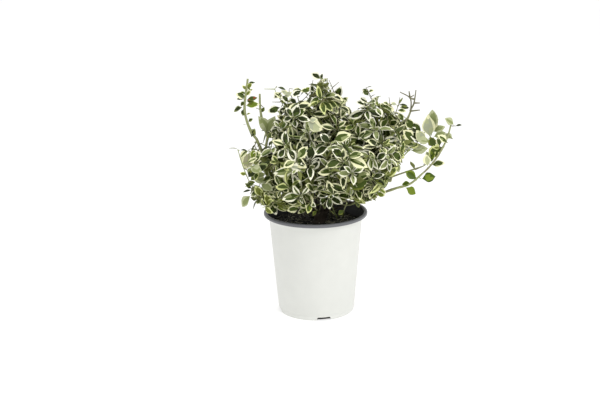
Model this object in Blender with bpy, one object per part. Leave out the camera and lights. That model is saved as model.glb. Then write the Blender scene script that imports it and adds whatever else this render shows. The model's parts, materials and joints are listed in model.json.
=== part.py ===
"""Variegated wintercreeper in a nursery pot.

Units are metres and +Z is up. The origin is the centre of the pot's flat underside and the front faces -Y.
A short main stem stands in the potting mix. Boughs leave it, or fork off one another, and each ends where it
enters a mass of foliage: twigs that branch from one stem, with leaves in opposite pairs, joined into one body.
"""

import math
import random

import bmesh
import bpy
import numpy as np

GAP = 0.0003
SEED = 7
UP = np.array((0.0, 0.0, 1.0))
FRONT = np.array((0.0, -1.0, 0.0))

POT_HEIGHT = 0.164
POT_SEGMENTS = 36
BASE_RADIUS = 0.061
WALL_TOP_RADIUS = 0.074
WALL_TOP = 0.151
WALL_THICKNESS = 0.0013
FLOOR_THICKNESS = 0.0018
BASE_CHAMFER = 0.0012
RIM_RADIUS = 0.0825
RIM_WIDTH = 0.0055
RIM_DEPTH = 0.0052
RIM_ROUNDING = 0.0014
STEP_RADIUS = 0.0773
STEP_HEIGHT = 0.0055

NOTCH_COUNT = 4
NOTCH_AZIMUTH = math.radians(-79.0)
NOTCH_BOTTOM_WIDTH = 0.026
NOTCH_TOP_WIDTH = 0.019
NOTCH_HEIGHT = 0.0054
NOTCH_DEPTH = 0.006

MIX_LEVEL = 0.146
MIX_FLAT_RADIUS = 0.0225
MIX_RINGS = (0.036, 0.049, 0.061, 0.0675)
MIX_LUMP = 0.0022
MIX_SHOULDER = 0.003
MIX_SEGMENTS = 28

STEM_CENTRE = (0.006, 0.0)
STEM_LEAN = 0.0015
FLARE_RADIUS = 0.0135
WAIST_RADIUS = 0.0095
WAIST_HEIGHT = 0.005
KNUCKLE_HEIGHT = 0.013
KNUCKLE_RADIUS = 0.0115
KNUCKLE_LOWEST = math.radians(-25.0)
KNUCKLE_RINGS = 6
MAIN_STEM_SEGMENTS = 18

BOUGH_SIDES = 5
BOUGH_RINGS = 6
BOUGH_BEND = 0.45
BOUGH_FOOT_RADIUS = 0.0021
BOUGH_TAPER = 0.62
FORK_SHARE = 0.85
FORK_PULL = 0.5
LIMB_STEP = 0.002
SMOOTH_ANGLE = math.radians(50.0)

TWIG_SIDES = 3
STEM_RINGS = 4
STEM_RISE = 0.3
STEM_BEND = 0.4
STEM_ANCHORS = np.linspace(0.15, 0.9, 9)
TWIG_RADIUS = 0.00125
TWIG_TIP_RADIUS = 0.0007
TWIG_SHORTEST = 0.012
TWIG_MARGIN = 0.011
TWIG_ANCHORS = (0.35, 0.55, 0.75)
TWIG_CHECKS = 14
TURN_COST = 0.6
TIP_DEPTH = 0.85
TIP_LEAST = 0.3
TIP_STEP = 0.05

LEAF_LENGTH = 0.029
LEAF_WIDTH = 0.020
LEAF_WIDEST = 0.45
LEAF_THICKNESS = 0.0009
LEAF_CUP = 0.0018
LEAF_SPACING = 0.0095
STEEP_SINE = 0.2
LEAF_INSET = 0.001
LEAF_STAGGER = 0.0006
LEAF_SHARE = 0.8
LEAF_LEAN = math.radians(38.0)
LEAN_SPREAD = math.radians(11.0)
LEAF_DROOP = (-0.35, 0.15)
LIGHT_PULL = 0.7
LIGHT_SPREAD = 0.3
LEAF_CLEARANCE = 0.0019
LEAF_CHECK_RINGS = (0.33, 0.66, 1.0)
LEAF_CHECK_STEPS = (0.0, 0.2, 0.4, 0.6, 0.8)
LEAF_ROOT_SHARE = 0.2
LEAF_TRIES = ((1.12, 0.0), (1.0, 0.5), (0.95, -0.5), (0.9, 1.0), (0.85, -1.0), (0.75, 1.5), (0.68, 0.0))
CROWN_CENTRE = np.array((0.03, 0.0, 0.22))

SPACE_MARGIN = 0.0004
SPACE_PULL = 0.5
LIMB_CLEARANCE = 0.0013
REACH = 0.93


class Mass:
    """One mass of foliage: the ellipsoid it keeps to, and what carries it.

    bearing and climb, in degrees, aim its bough as the bough leaves the main stem. A mass with a parent forks
    off that mass's bough instead, at the given share of its length, or with beyond set it carries on from the
    end of that mass's stem. foot is where the bough hands over to the stem, tips are the shoots that give the
    crown its outline, and leaf is the size of its leaves against the common one.
    """

    def __init__(self, centre, radii, bearing=0.0, climb=0.0, parent=None, fork=0.5, beyond=False, foot=None,
                 tips=(), twigs=8, leaves=32, leaf=1.0, bare=False):
        self.centre = np.array(centre)
        self.radii = np.array(radii)
        self.weight = SPACE_PULL * float(np.mean(self.radii)) ** 2
        self.bearing = math.radians(bearing)
        self.climb = math.radians(climb)
        self.parent = parent
        self.fork = fork
        self.beyond = beyond
        self.foot = None if foot is None else np.array(foot)
        self.tips = [np.array(tip) for tip in tips]
        self.twigs = twigs
        self.leaves = leaves
        self.leaf = leaf
        self.bare = bare


MASSES = {
    "top_left": Mass((-0.022, -0.004, 0.300), (0.058, 0.054, 0.064), bearing=200, climb=66, leaves=30,
                     leaf=1.15, tips=((-0.056, 0.0, 0.356), (-0.026, -0.004, 0.352))),
    "top_middle": Mass((0.018, 0.004, 0.316), (0.046, 0.054, 0.070), bearing=95, climb=72, leaves=30,
                       leaf=1.15, tips=((0.006, 0.0, 0.376), (0.036, 0.0, 0.358))),
    "top_right": Mass((0.086, 0.002, 0.296), (0.058, 0.054, 0.062), bearing=340, climb=62, leaves=30,
                      leaf=1.15, tips=((0.085, 0.004, 0.350), (0.117, 0.002, 0.340))),
    "front_left": Mass((-0.020, -0.054, 0.232), (0.056, 0.052, 0.058), bearing=236, climb=34, leaves=30,
                       leaf=1.1),
    "front_middle": Mass((0.038, -0.062, 0.238), (0.050, 0.050, 0.062), bearing=282, climb=38, leaves=30,
                         leaf=1.1),
    "front_right": Mass((0.088, -0.044, 0.238), (0.052, 0.050, 0.058), bearing=317, climb=36, leaves=28,
                        leaf=1.1),
    "right": Mass((0.112, 0.012, 0.244), (0.050, 0.052, 0.054), bearing=15, climb=28, leaves=26,
                  leaf=1.1),
    "left": Mass((-0.054, -0.010, 0.242), (0.042, 0.050, 0.054), parent="left_tall", fork=0.3,
                 foot=(-0.037, -0.022, 0.206), tips=((-0.064, -0.032, 0.276),), leaves=22, twigs=10),
    "back_left": Mass((-0.040, 0.052, 0.250), (0.054, 0.052, 0.060), bearing=138, climb=36, leaves=30,
                      leaf=1.15),
    "back_middle": Mass((0.008, 0.076, 0.262), (0.050, 0.050, 0.064), bearing=98, climb=32, leaves=28,
                        leaf=1.15),
    "back_right": Mass((0.066, 0.066, 0.254), (0.054, 0.052, 0.060), bearing=56, climb=36, leaves=30,
                       leaf=1.15),
    "left_low": Mass((-0.056, -0.044, 0.193), (0.048, 0.042, 0.026), parent="front_left", fork=0.35,
                     leaves=16, leaf=0.85, twigs=6),
    "right_low": Mass((0.074, -0.042, 0.194), (0.046, 0.040, 0.026), parent="front_right", fork=0.35,
                      leaves=14, leaf=0.85, twigs=6),
    "back_low": Mass((0.016, 0.066, 0.198), (0.064, 0.042, 0.028), parent="back_middle", fork=0.4,
                     leaves=18, twigs=7),
    "front_low": Mass((0.017, -0.064, 0.192), (0.038, 0.030, 0.028), parent="front_middle", fork=0.35,
                      foot=(0.014, -0.042, 0.180), tips=((0.017, -0.068, 0.196),), leaves=12, leaf=0.9,
                      twigs=4),
    "left_tall": Mass((-0.103, -0.020, 0.332), (0.027, 0.026, 0.054), bearing=184, climb=30,
                      foot=(-0.090, -0.017, 0.284), tips=((-0.101, -0.022, 0.377),), twigs=4, leaves=12,
                      leaf=0.75),
    "left_stub": Mass((-0.081, 0.008, 0.312), (0.022, 0.020, 0.044), parent="left_tall", fork=0.7,
                      foot=(-0.074, 0.008, 0.282), tips=((-0.085, 0.008, 0.350),), twigs=1, leaves=3,
                      leaf=0.9),
    "left_shoot": Mass((-0.106, -0.051, 0.234), (0.030, 0.028, 0.052), parent="front_left", fork=0.6,
                       foot=(-0.084, -0.047, 0.200), tips=((-0.117, -0.054, 0.276),), twigs=5, leaves=12,
                       leaf=0.8),
    "right_fan": Mass((0.178, 0.032, 0.284), (0.034, 0.030, 0.038), parent="right", fork=0.7,
                      foot=(0.152, 0.027, 0.258), tips=((0.186, 0.035, 0.308),), twigs=3, leaves=10),
    "right_arch": Mass((0.150, -0.050, 0.222), (0.036, 0.026, 0.030), bearing=338, climb=22,
                       foot=(0.124, -0.048, 0.212), tips=((0.166, -0.049, 0.237),), twigs=2, leaves=8,
                       leaf=0.75),
    "right_tip": Mass((0.206, -0.041, 0.297), (0.028, 0.025, 0.032), parent="right_arch", beyond=True,
                      foot=(0.197, -0.043, 0.279), tips=((0.206, -0.040, 0.313),), twigs=3, leaves=7,
                      leaf=0.7),
    "right_spray": Mass((0.182, -0.010, 0.256), (0.024, 0.024, 0.032), parent="right", fork=0.3,
                        foot=(0.166, -0.010, 0.236), tips=((0.184, -0.010, 0.278),), twigs=2, leaves=6,
                        leaf=0.7),
    "right_bare": Mass((0.150, 0.008, 0.330), (0.022, 0.016, 0.030), parent="top_right", fork=0.6,
                       foot=(0.141, 0.006, 0.308), bare=True,
                       tips=((0.158, 0.010, 0.349), (0.134, 0.010, 0.348), (0.148, 0.010, 0.344),
                             (0.163, 0.008, 0.323)), twigs=0),
    "back_shoot_left": Mass((-0.092, 0.072, 0.276), (0.034, 0.034, 0.050), parent="back_left", fork=0.6,
                            twigs=4, leaves=13),
    "back_shoot_right": Mass((0.146, 0.078, 0.276), (0.036, 0.034, 0.048), parent="back_right", fork=0.6,
                             twigs=4, leaves=13),
}


def clear_scene():
    for obj in list(bpy.data.objects):
        bpy.data.objects.remove(obj, do_unlink=True)


def make_material(name, colour, roughness):
    material = bpy.data.materials.new(name)
    material.use_nodes = True
    shader = material.node_tree.nodes["Principled BSDF"]
    shader.inputs["Base Color"].default_value = (*colour, 1.0)
    shader.inputs["Roughness"].default_value = roughness
    shader.inputs["Metallic"].default_value = 0.0
    material.diffuse_color = (*colour, 1.0)
    return material


def plastic_material():
    return make_material("pot_plastic", (0.78, 0.78, 0.76), 0.42)


def mix_material():
    return make_material("potting_mix_earth", (0.018, 0.014, 0.011), 0.95)


def wood_material(name):
    return make_material(name + "_bark", (0.16, 0.14, 0.07), 0.8)


def leaf_material(name):
    return make_material(name + "_leaf", (0.20, 0.27, 0.12), 0.5)


def add_object(name, points, faces, material, smooth_angle=None):
    mesh = bpy.data.meshes.new(name)
    mesh.from_pydata([tuple(point) for point in points], [], faces)
    mesh.validate()
    mesh.materials.append(material)
    if smooth_angle is not None:
        mesh.shade_smooth()
        mesh.set_sharp_from_angle(angle=smooth_angle)
    obj = bpy.data.objects.new(name, mesh)
    bpy.context.scene.collection.objects.link(obj)
    return obj


def face_outwards(obj):
    shape = bmesh.new()
    shape.from_mesh(obj.data)
    bmesh.ops.recalc_face_normals(shape, faces=shape.faces)
    shape.to_mesh(obj.data)
    shape.free()


def cut_with(obj, cutter):
    """Takes the cutter's shape out of the object, and keeps the cutter out of renders."""
    cutter.hide_render = True
    cutter.display_type = "WIRE"
    modifier = obj.modifiers.new(cutter.name, "BOOLEAN")
    modifier.operation = "DIFFERENCE"
    modifier.solver = "EXACT"
    modifier.object = cutter


def turned_mesh(profile, segments, centre=(0.0, 0.0)):
    """Points and faces of a profile turned round the vertical axis; it starts and ends on the axis."""
    points = [(centre[0], centre[1], profile[0][1])]
    for radius, height in profile[1:-1]:
        for step in range(segments):
            angle = 2 * math.pi * step / segments
            points.append((centre[0] + radius * math.cos(angle), centre[1] + radius * math.sin(angle), height))
    points.append((centre[0], centre[1], profile[-1][1]))
    last = len(points) - 1
    rings = len(profile) - 2
    faces = []
    for step in range(segments):
        after = (step + 1) % segments
        faces.append((0, 1 + after, 1 + step))
        faces.append((last, 1 + (rings - 1) * segments + step, 1 + (rings - 1) * segments + after))
        for ring in range(rings - 1):
            low = 1 + ring * segments
            high = low + segments
            faces.append((low + step, low + after, high + after, high + step))
    return points, faces


def wall_radius(height):
    return BASE_RADIUS + (WALL_TOP_RADIUS - BASE_RADIUS) * height / WALL_TOP


def pot_profile():
    inside = WALL_THICKNESS
    rim_bottom = POT_HEIGHT - RIM_DEPTH
    rim_inner = RIM_RADIUS - RIM_WIDTH
    rise = RIM_ROUNDING
    return [
        (0.0, 0.0),
        (BASE_RADIUS - BASE_CHAMFER, 0.0),
        (wall_radius(BASE_CHAMFER), BASE_CHAMFER),
        (WALL_TOP_RADIUS, WALL_TOP),
        (STEP_RADIUS, WALL_TOP + STEP_HEIGHT),
        (STEP_RADIUS, rim_bottom),
        (RIM_RADIUS - rise, rim_bottom),
        (RIM_RADIUS, rim_bottom + rise),
        (RIM_RADIUS, POT_HEIGHT - rise),
        (RIM_RADIUS - rise, POT_HEIGHT),
        (rim_inner + rise, POT_HEIGHT),
        (rim_inner, POT_HEIGHT - rise),
        (STEP_RADIUS - inside, WALL_TOP + STEP_HEIGHT),
        (WALL_TOP_RADIUS - inside, WALL_TOP),
        (wall_radius(FLOOR_THICKNESS) - inside, FLOOR_THICKNESS),
        (0.0, FLOOR_THICKNESS),
    ]


def notch_cutter(index):
    """A tapered block that opens the foot of the wall and the edge of the floor for drainage."""
    angle = NOTCH_AZIMUTH + 2 * math.pi * index / NOTCH_COUNT
    inner = BASE_RADIUS - NOTCH_DEPTH
    outer = BASE_RADIUS + NOTCH_DEPTH
    across = ((-0.5 * NOTCH_BOTTOM_WIDTH, -NOTCH_HEIGHT), (0.5 * NOTCH_BOTTOM_WIDTH, -NOTCH_HEIGHT),
              (0.5 * NOTCH_BOTTOM_WIDTH, 0.0), (0.5 * NOTCH_TOP_WIDTH, NOTCH_HEIGHT),
              (-0.5 * NOTCH_TOP_WIDTH, NOTCH_HEIGHT), (-0.5 * NOTCH_BOTTOM_WIDTH, 0.0))
    points = []
    for reach in (inner, outer):
        for side, height in across:
            points.append((reach * math.cos(angle) - side * math.sin(angle),
                           reach * math.sin(angle) + side * math.cos(angle), height))
    count = len(across)
    faces = [tuple(range(count)), tuple(range(2 * count - 1, count - 1, -1))]
    for step in range(count):
        after = (step + 1) % count
        faces.append((step, after, count + after, count + step))
    cutter = add_object("notch_cutter_%d" % index, points, faces, plastic_material())
    face_outwards(cutter)
    return cutter


def build_pot():
    points, faces = turned_mesh(pot_profile(), POT_SEGMENTS)
    pot = add_object("pot", points, faces, plastic_material(), SMOOTH_ANGLE)
    face_outwards(pot)
    for index in range(NOTCH_COUNT):
        cut_with(pot, notch_cutter(index))
    return pot


def build_mix(chance):
    """The root ball: it fills the pot to a lumpy top that is flat where the main stem stands."""
    floor = FLOOR_THICKNESS + GAP
    clear = WALL_THICKNESS + 2 * GAP
    edge = MIX_LEVEL - MIX_SHOULDER
    profile = [(0.0, floor), (wall_radius(floor) - clear, floor), (wall_radius(edge) - clear, edge)]
    profile += [(radius, MIX_LEVEL) for radius in reversed(MIX_RINGS)]
    profile += [(MIX_FLAT_RADIUS, MIX_LEVEL), (0.0, MIX_LEVEL)]
    points, faces = turned_mesh(profile, MIX_SEGMENTS)
    first_lumpy = 1 + 2 * MIX_SEGMENTS
    past_lumpy = first_lumpy + len(MIX_RINGS) * MIX_SEGMENTS
    for index in range(first_lumpy, past_lumpy):
        x, y, z = points[index]
        points[index] = (x, y, z + chance.uniform(-MIX_LUMP, MIX_LUMP))
    mix = add_object("potting_mix", points, faces, mix_material())
    face_outwards(mix)
    return mix


def knuckle_centre():
    return np.array([STEM_CENTRE[0] + STEM_LEAN, STEM_CENTRE[1], MIX_LEVEL + GAP + KNUCKLE_HEIGHT])


def build_main_stem():
    """The short woody stem: a flat cut at the mix, a root flare, a waist and the knuckle that it forks from."""
    base = MIX_LEVEL + GAP
    profile = [(0.0, base), (FLARE_RADIUS, base), (WAIST_RADIUS, base + WAIST_HEIGHT)]
    for ring in range(KNUCKLE_RINGS):
        angle = KNUCKLE_LOWEST + (0.5 * math.pi - KNUCKLE_LOWEST) * ring / KNUCKLE_RINGS
        profile.append((KNUCKLE_RADIUS * math.cos(angle),
                        base + KNUCKLE_HEIGHT + KNUCKLE_RADIUS * math.sin(angle)))
    profile.append((0.0, base + KNUCKLE_HEIGHT + KNUCKLE_RADIUS))
    points, faces = turned_mesh(profile, MAIN_STEM_SEGMENTS, STEM_CENTRE)
    leaning = []
    for x, y, z in points:
        share = min(1.0, (z - base) / KNUCKLE_HEIGHT)
        leaning.append((x + STEM_LEAN * share, y, z))
    stem = add_object("main_stem", leaning, faces, wood_material("main_stem"), SMOOTH_ANGLE)
    face_outwards(stem)
    return stem


def unit(vector):
    return vector / np.linalg.norm(vector)


def curve_points(start, heading, end, count, bend):
    """Points of a curve that leaves start along heading and runs on to end."""
    middle = start + unit(heading) * np.linalg.norm(end - start) * bend
    shares = np.linspace(0.0, 1.0, count)[:, None]
    return (1 - shares) ** 2 * start + 2 * shares * (1 - shares) * middle + shares ** 2 * end


def tangents(path):
    steps = np.gradient(path, axis=0)
    return steps / np.linalg.norm(steps, axis=1)[:, None]


def tube_mesh(path, radii, sides, first=None):
    """Points and faces of a closed tapering tube whose rings are carried along the path without twisting.

    first is the heading that its foot is cut square to, so that it meets what carries it face to face.
    """
    headings = tangents(path)
    if first is not None:
        headings[0] = unit(first)
    across = np.cross(headings[0], np.eye(3)[np.argmin(np.abs(headings[0]))])
    points = []
    for point, heading, radius in zip(path, headings, radii):
        across = unit(across - heading * np.dot(across, heading))
        up = np.cross(heading, across)
        for side in range(sides):
            angle = 2 * math.pi * side / sides
            points.append(point + radius * (math.cos(angle) * across + math.sin(angle) * up))
    last = (len(path) - 1) * sides
    faces = [tuple(range(sides - 1, -1, -1)), tuple(range(last, last + sides))]
    for ring in range(len(path) - 1):
        low = ring * sides
        for side in range(sides):
            after = (side + 1) % sides
            faces.append((low + side, low + after, low + sides + after, low + sides + side))
    return points, faces


def mass_foot(mass):
    """Where the mass's bough hands over to its stem: its own foot, or the near side of its space."""
    if mass.foot is not None:
        return mass.foot
    back = knuckle_centre() - mass.centre
    return mass.centre + back * REACH / np.linalg.norm(back / mass.radii)


def bough_start(mass, limbs):
    """Start point, heading and foot radius of a mass's bough.

    A bough off the knuckle, or beyond a stem, starts a gap clear of it. A fork starts on the axis of the bough
    that carries it, whose bark build_bough then cuts it back to.
    """
    if mass.parent is None:
        heading = np.array([math.cos(mass.bearing) * math.cos(mass.climb),
                            math.sin(mass.bearing) * math.cos(mass.climb), math.sin(mass.climb)])
        return knuckle_centre() + heading * (KNUCKLE_RADIUS + GAP), heading, BOUGH_FOOT_RADIUS
    parent = limbs[mass.parent]
    if mass.beyond:
        heading = tangents(parent.stem)[-1]
        return parent.stem[-1] + heading * GAP, heading, parent.radii[-1]
    index = round(mass.fork * (len(parent.path) - 1))
    start = parent.path[index]
    heading = unit(unit(mass_foot(mass) - start) + FORK_PULL * tangents(parent.path)[index])
    return start, heading, FORK_SHARE * parent.radii[index]


def stem_end(name, start):
    """Where a mass's stem ends: at its first named tip, or up through the middle to the far side."""
    mass = MASSES[name]
    if mass.tips:
        return mass.tips[0]
    ray = unit(mass.centre + UP * STEM_RISE * mass.radii[2] - start)
    reach = 2 * TWIG_SHORTEST
    while in_space((start + ray * (reach + TWIG_MARGIN))[None, :], name):
        reach += LIMB_STEP
    return start + ray * reach


class Limb:
    """A mass's bough, and the stem that carries on from it inside the mass."""

    def __init__(self, name, limbs):
        mass = MASSES[name]
        start, self.first, radius = bough_start(mass, limbs)
        self.path = curve_points(start, self.first, mass_foot(mass), BOUGH_RINGS, BOUGH_BEND)
        self.radii = np.linspace(radius, BOUGH_TAPER * radius, BOUGH_RINGS)
        self.last = tangents(self.path)[-1]
        foot = self.path[-1] + self.last * GAP
        self.stem = curve_points(foot, self.last, stem_end(name, foot), STEM_RINGS, STEM_BEND)
        self.stem_radii = np.linspace(self.radii[-1], TWIG_TIP_RADIUS, STEM_RINGS)


def plan_limbs():
    """Each mass's limb, by name; parents come before the boughs that fork off them."""
    limbs = {}
    waiting = list(MASSES)
    while waiting:
        name = waiting.pop(0)
        if MASSES[name].parent in limbs or MASSES[name].parent is None:
            limbs[name] = Limb(name, limbs)
        else:
            waiting.append(name)
    return limbs


def build_bough(name, limbs):
    """A tapering limb; the foot of a fork is cut back to a gap clear of the bark of the bough it leaves."""
    limb = limbs[name]
    title = name + "_bough"
    points, faces = tube_mesh(limb.path, limb.radii, BOUGH_SIDES, limb.first)
    bough = add_object(title, points, faces, wood_material(title), SMOOTH_ANGLE)
    face_outwards(bough)
    mass = MASSES[name]
    if mass.parent is None or mass.beyond:
        return bough
    parent = limbs[mass.parent]
    bark = parent.radii + GAP / math.cos(math.pi / BOUGH_SIDES)
    cutter = add_object(title + "_cutter", *tube_mesh(parent.path, bark, BOUGH_SIDES, parent.first),
                        wood_material(title + "_cutter"))
    face_outwards(cutter)
    cut_with(bough, cutter)
    return bough


def lengths_along(path):
    return np.concatenate([[0.0], np.cumsum(np.linalg.norm(np.diff(path, axis=0), axis=1))])


def path_point(path, share):
    """The point at a share of a path's length."""
    lengths = lengths_along(path)
    return np.array([np.interp(share * lengths[-1], lengths, path[:, axis]) for axis in range(3)])


def sample_tube(path, radii):
    """Centres and radii of closely spaced balls along a tube."""
    lengths = lengths_along(path)
    shares = np.linspace(0.0, 1.0, math.ceil(lengths[-1] / LIMB_STEP))
    centres = np.array([path_point(path, share) for share in shares])
    return centres, np.interp(shares * lengths[-1], lengths, radii)


def limb_balls(name, limbs):
    """Balls along every bough, and along every other mass's stem, which this mass stays clear of."""
    tubes = [sample_tube(limb.path, limb.radii) for limb in limbs.values()]
    tubes += [sample_tube(limb.stem, limb.stem_radii) for other, limb in limbs.items() if other != name]
    return np.concatenate([tube[0] for tube in tubes]), np.concatenate([tube[1] for tube in tubes])


def in_space(points, name, margin=SPACE_MARGIN):
    """Whether the points lie in the mass's ellipsoid, on its own side of the planes that part it from others."""
    mass = MASSES[name]
    if (((points - mass.centre) / mass.radii) ** 2).sum(axis=1).max() > 1.0:
        return False
    own = ((points - mass.centre) ** 2).sum(axis=1) - mass.weight
    for other, rival in MASSES.items():
        if other == name:
            continue
        apart = np.linalg.norm(mass.centre - rival.centre)
        lead = ((points - rival.centre) ** 2).sum(axis=1) - rival.weight - own
        if lead.min() < 2 * apart * margin:
            return False
    return points[:, 2].min() > POT_HEIGHT + margin


def clears_limbs(points, radius, balls):
    centres, sizes = balls
    distance = np.linalg.norm(points[:, None, :] - centres[None, :, :], axis=2) - sizes[None, :]
    return distance.min() > radius + LIMB_CLEARANCE


def leaf_frame(heading, outward, chance):
    """Width and facing directions of a leaf: its face turns up and out to the light."""
    facing = np.array([chance.uniform(-LIGHT_SPREAD, LIGHT_SPREAD) for _ in range(3)])
    facing = facing + LIGHT_PULL * (outward + UP)
    facing = unit(facing - heading * np.dot(facing, heading))
    return np.cross(facing, heading), facing


def leaf_mesh(root, heading, across, facing, size):
    """A pointed, slightly cupped blade of eight faces whose root is sunk to the twig's axis."""
    length = LEAF_LENGTH * size
    half = 0.5 * LEAF_WIDTH * size
    middle = root + heading * length * LEAF_WIDEST
    lift = facing * LEAF_CUP
    points = [root, middle + across * half + lift, root + heading * length, middle - across * half + lift,
              middle + facing * 0.5 * LEAF_THICKNESS, middle - facing * 0.5 * LEAF_THICKNESS]
    faces = [(0, 1, 4), (1, 2, 4), (2, 3, 4), (3, 0, 4), (1, 0, 5), (2, 1, 5), (3, 2, 5), (0, 3, 5)]
    return np.array(points), faces


def leaf_samples(points):
    """Points spread over a blade, clear of its root, for the tests of what it would touch."""
    base, left, tip, right, top = points[:5]
    spots = [top]
    for near, far in ((left, tip), (tip, right), (right, base), (base, left)):
        for step in LEAF_CHECK_STEPS:
            edge = near + (far - near) * step
            spots += [top + (edge - top) * ring for ring in LEAF_CHECK_RINGS]
    spots = np.array(spots)
    return spots[np.linalg.norm(spots - base, axis=1) > LEAF_ROOT_SHARE * np.linalg.norm(tip - base)]


def spread_tips(name, stem, chance):
    """Seeded twig tips, even over the mass's space, the outward side first."""
    mass = MASSES[name]
    tips = list(mass.tips[1:])
    turn = math.pi * (3.0 - math.sqrt(5.0))
    phase = chance.uniform(0.0, 2 * math.pi)
    count = 2 * mass.twigs
    found = []
    for index in range(count):
        height = 1.0 - 2.0 * (index + 0.5) / count
        ring = math.sqrt(1.0 - height * height)
        angle = phase + turn * index
        ray = np.array([ring * math.cos(angle), ring * math.sin(angle), height]) * mass.radii
        share = 1.0
        while share > TIP_LEAST and not in_space((mass.centre + ray * share)[None, :], name):
            share -= TIP_STEP
        tip = mass.centre + ray * (share - TWIG_MARGIN / np.linalg.norm(ray)) * chance.uniform(TIP_DEPTH, 1.0)
        if share > TIP_LEAST and np.linalg.norm(tip - stem[0]) > 2 * TWIG_SHORTEST:
            found.append((share + TIP_LEAST * chance.random(), tip))
    found.sort(key=lambda pair: -pair[0])
    return tips + [tip for _, tip in found[:mass.twigs]]


def best_anchor(target, skeleton):
    """The twig point that the target is reached from with the least length and the least turn."""
    best = None
    for point, heading in skeleton:
        span = target - point
        length = np.linalg.norm(span)
        if length < TWIG_SHORTEST:
            continue
        cost = length + TURN_COST * (length - np.dot(span, heading))
        if best is None or cost < best[0]:
            best = (cost, point)
    return None if best is None else best[1]


def grow_twigs(name, limb, balls, chance):
    """The stem and twigs of a mass as axis paths with radii, each twig rooted on one before it."""
    stem = limb.stem
    twigs = [(stem, limb.stem_radii)]
    skeleton = [(path_point(stem, share), tangents(stem)[1]) for share in STEM_ANCHORS]
    for target in spread_tips(name, stem, chance):
        anchor = best_anchor(target, skeleton)
        if anchor is None:
            continue
        span = target - anchor
        inner = anchor + span * np.linspace(0.0, 1.0, TWIG_CHECKS)[1:, None]
        if not in_space(inner, name, TWIG_RADIUS) or not clears_limbs(inner, TWIG_RADIUS, balls):
            continue
        twigs.append((np.array([anchor, target]), np.array([TWIG_RADIUS, TWIG_TIP_RADIUS])))
        skeleton += [(anchor + span * share, unit(span)) for share in TWIG_ANCHORS]
    return twigs


def pair_sides(heading, turned):
    """The two directions across a twig at one node; each pair is turned a quarter from the pair below."""
    steep = np.linalg.norm(np.cross(heading, UP)) < STEEP_SINE
    level = unit(np.cross(heading, FRONT if steep else UP))
    side = np.cross(level, heading) if turned else level
    return side, -side


def leaf_nodes(twigs, chance):
    """Each node's place, heading and side directions, from the twigs' tips down."""
    nodes = []
    for path, _ in twigs:
        headings = tangents(path)
        length = lengths_along(path)[-1]
        for step in range(max(1, int(LEAF_SHARE * length / LEAF_SPACING))):
            share = 1.0 - (LEAF_INSET + step * LEAF_SPACING) / length
            root = path_point(path, share)
            heading = headings[round(share * (len(path) - 1))]
            for offset, side in enumerate(pair_sides(heading, step % 2 == 1)):
                nodes.append((step, chance.random(), root - heading * LEAF_STAGGER * offset, heading, side))
    nodes.sort(key=lambda node: node[:2])
    return nodes


def grow_leaves(name, twigs, balls, chance):
    """Leaves in opposite pairs from each twig's tip down; one that would touch something is left out."""
    mass = MASSES[name]
    leaves = []
    taken = np.full((1, 3), -1.0)
    for _, _, root, heading, side in leaf_nodes(twigs, chance):
        if not clears_limbs(root[None, :], 0.0, balls):
            continue
        for size, turn in LEAF_TRIES:
            lean = LEAF_LEAN + chance.uniform(-LEAN_SPREAD, LEAN_SPREAD)
            aim = side * math.cos(turn) + np.cross(heading, side) * math.sin(turn)
            droop = UP * chance.uniform(*LEAF_DROOP)
            blade = unit(aim * math.cos(lean) + heading * math.sin(lean) + droop)
            across, facing = leaf_frame(blade, unit(root - CROWN_CENTRE), chance)
            points, faces = leaf_mesh(root, blade, across, facing, mass.leaf * size)
            spots = leaf_samples(points)
            if not in_space(points[1:], name) or not clears_limbs(spots, 0.0, balls):
                continue
            if np.linalg.norm(spots[:, None] - taken[None], axis=2).min() < LEAF_CLEARANCE:
                continue
            taken = np.concatenate([taken, spots])
            leaves.append((points, faces))
            break
        if len(leaves) == mass.leaves:
            break
    return leaves


def keep_largest(mesh):
    """Drops any loose scrap, so that the mass is one body."""
    shape = bmesh.new()
    shape.from_mesh(mesh)
    islands = []
    seen = set()
    for vert in shape.verts:
        if vert in seen:
            continue
        seen.add(vert)
        island = [vert]
        for member in island:
            near = [edge.other_vert(member) for edge in member.link_edges]
            fresh = [other for other in near if other not in seen]
            seen.update(fresh)
            island += fresh
        islands.append(island)
    islands.sort(key=len)
    for island in islands[:-1]:
        bmesh.ops.delete(shape, geom=island, context="VERTS")
    bmesh.ops.triangulate(shape, faces=shape.faces)
    shape.to_mesh(mesh)
    shape.free()


def join(body, pieces):
    """One union of the body with a collection's pieces, applied, after which the pieces are removed."""
    union = body.modifiers.new("union", "BOOLEAN")
    union.operation = "UNION"
    union.operand_type = "COLLECTION"
    union.collection = pieces
    union.solver = "EXACT"
    view = bpy.context.evaluated_depsgraph_get()
    joined = bpy.data.meshes.new_from_object(body.evaluated_get(view))
    body.modifiers.clear()
    body.data = joined
    keep_largest(joined)
    for piece in list(pieces.objects):
        bpy.data.objects.remove(piece, do_unlink=True)
    bpy.data.collections.remove(pieces)


def build_mass(name, limb, balls, chance):
    """Joins the mass's stem, twigs and leaves into one body."""
    mass = MASSES[name]
    material = wood_material(name) if mass.bare else leaf_material(name)
    twigs = grow_twigs(name, limb, balls, chance)
    leaves = [] if mass.bare else grow_leaves(name, twigs, balls, chance)
    pieces = bpy.data.collections.new(name + "_pieces")
    bpy.context.scene.collection.children.link(pieces)
    body = add_object(name, *tube_mesh(*twigs[0], TWIG_SIDES, limb.last), material)
    face_outwards(body)
    tubes = [tube_mesh(path, radii, TWIG_SIDES) for path, radii in twigs[1:]]
    for index, (points, faces) in enumerate(tubes + leaves):
        piece = add_object("%s_piece_%d" % (name, index), points, faces, material)
        face_outwards(piece)
        bpy.context.scene.collection.objects.unlink(piece)
        pieces.objects.link(piece)
    join(body, pieces)
    return body


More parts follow.
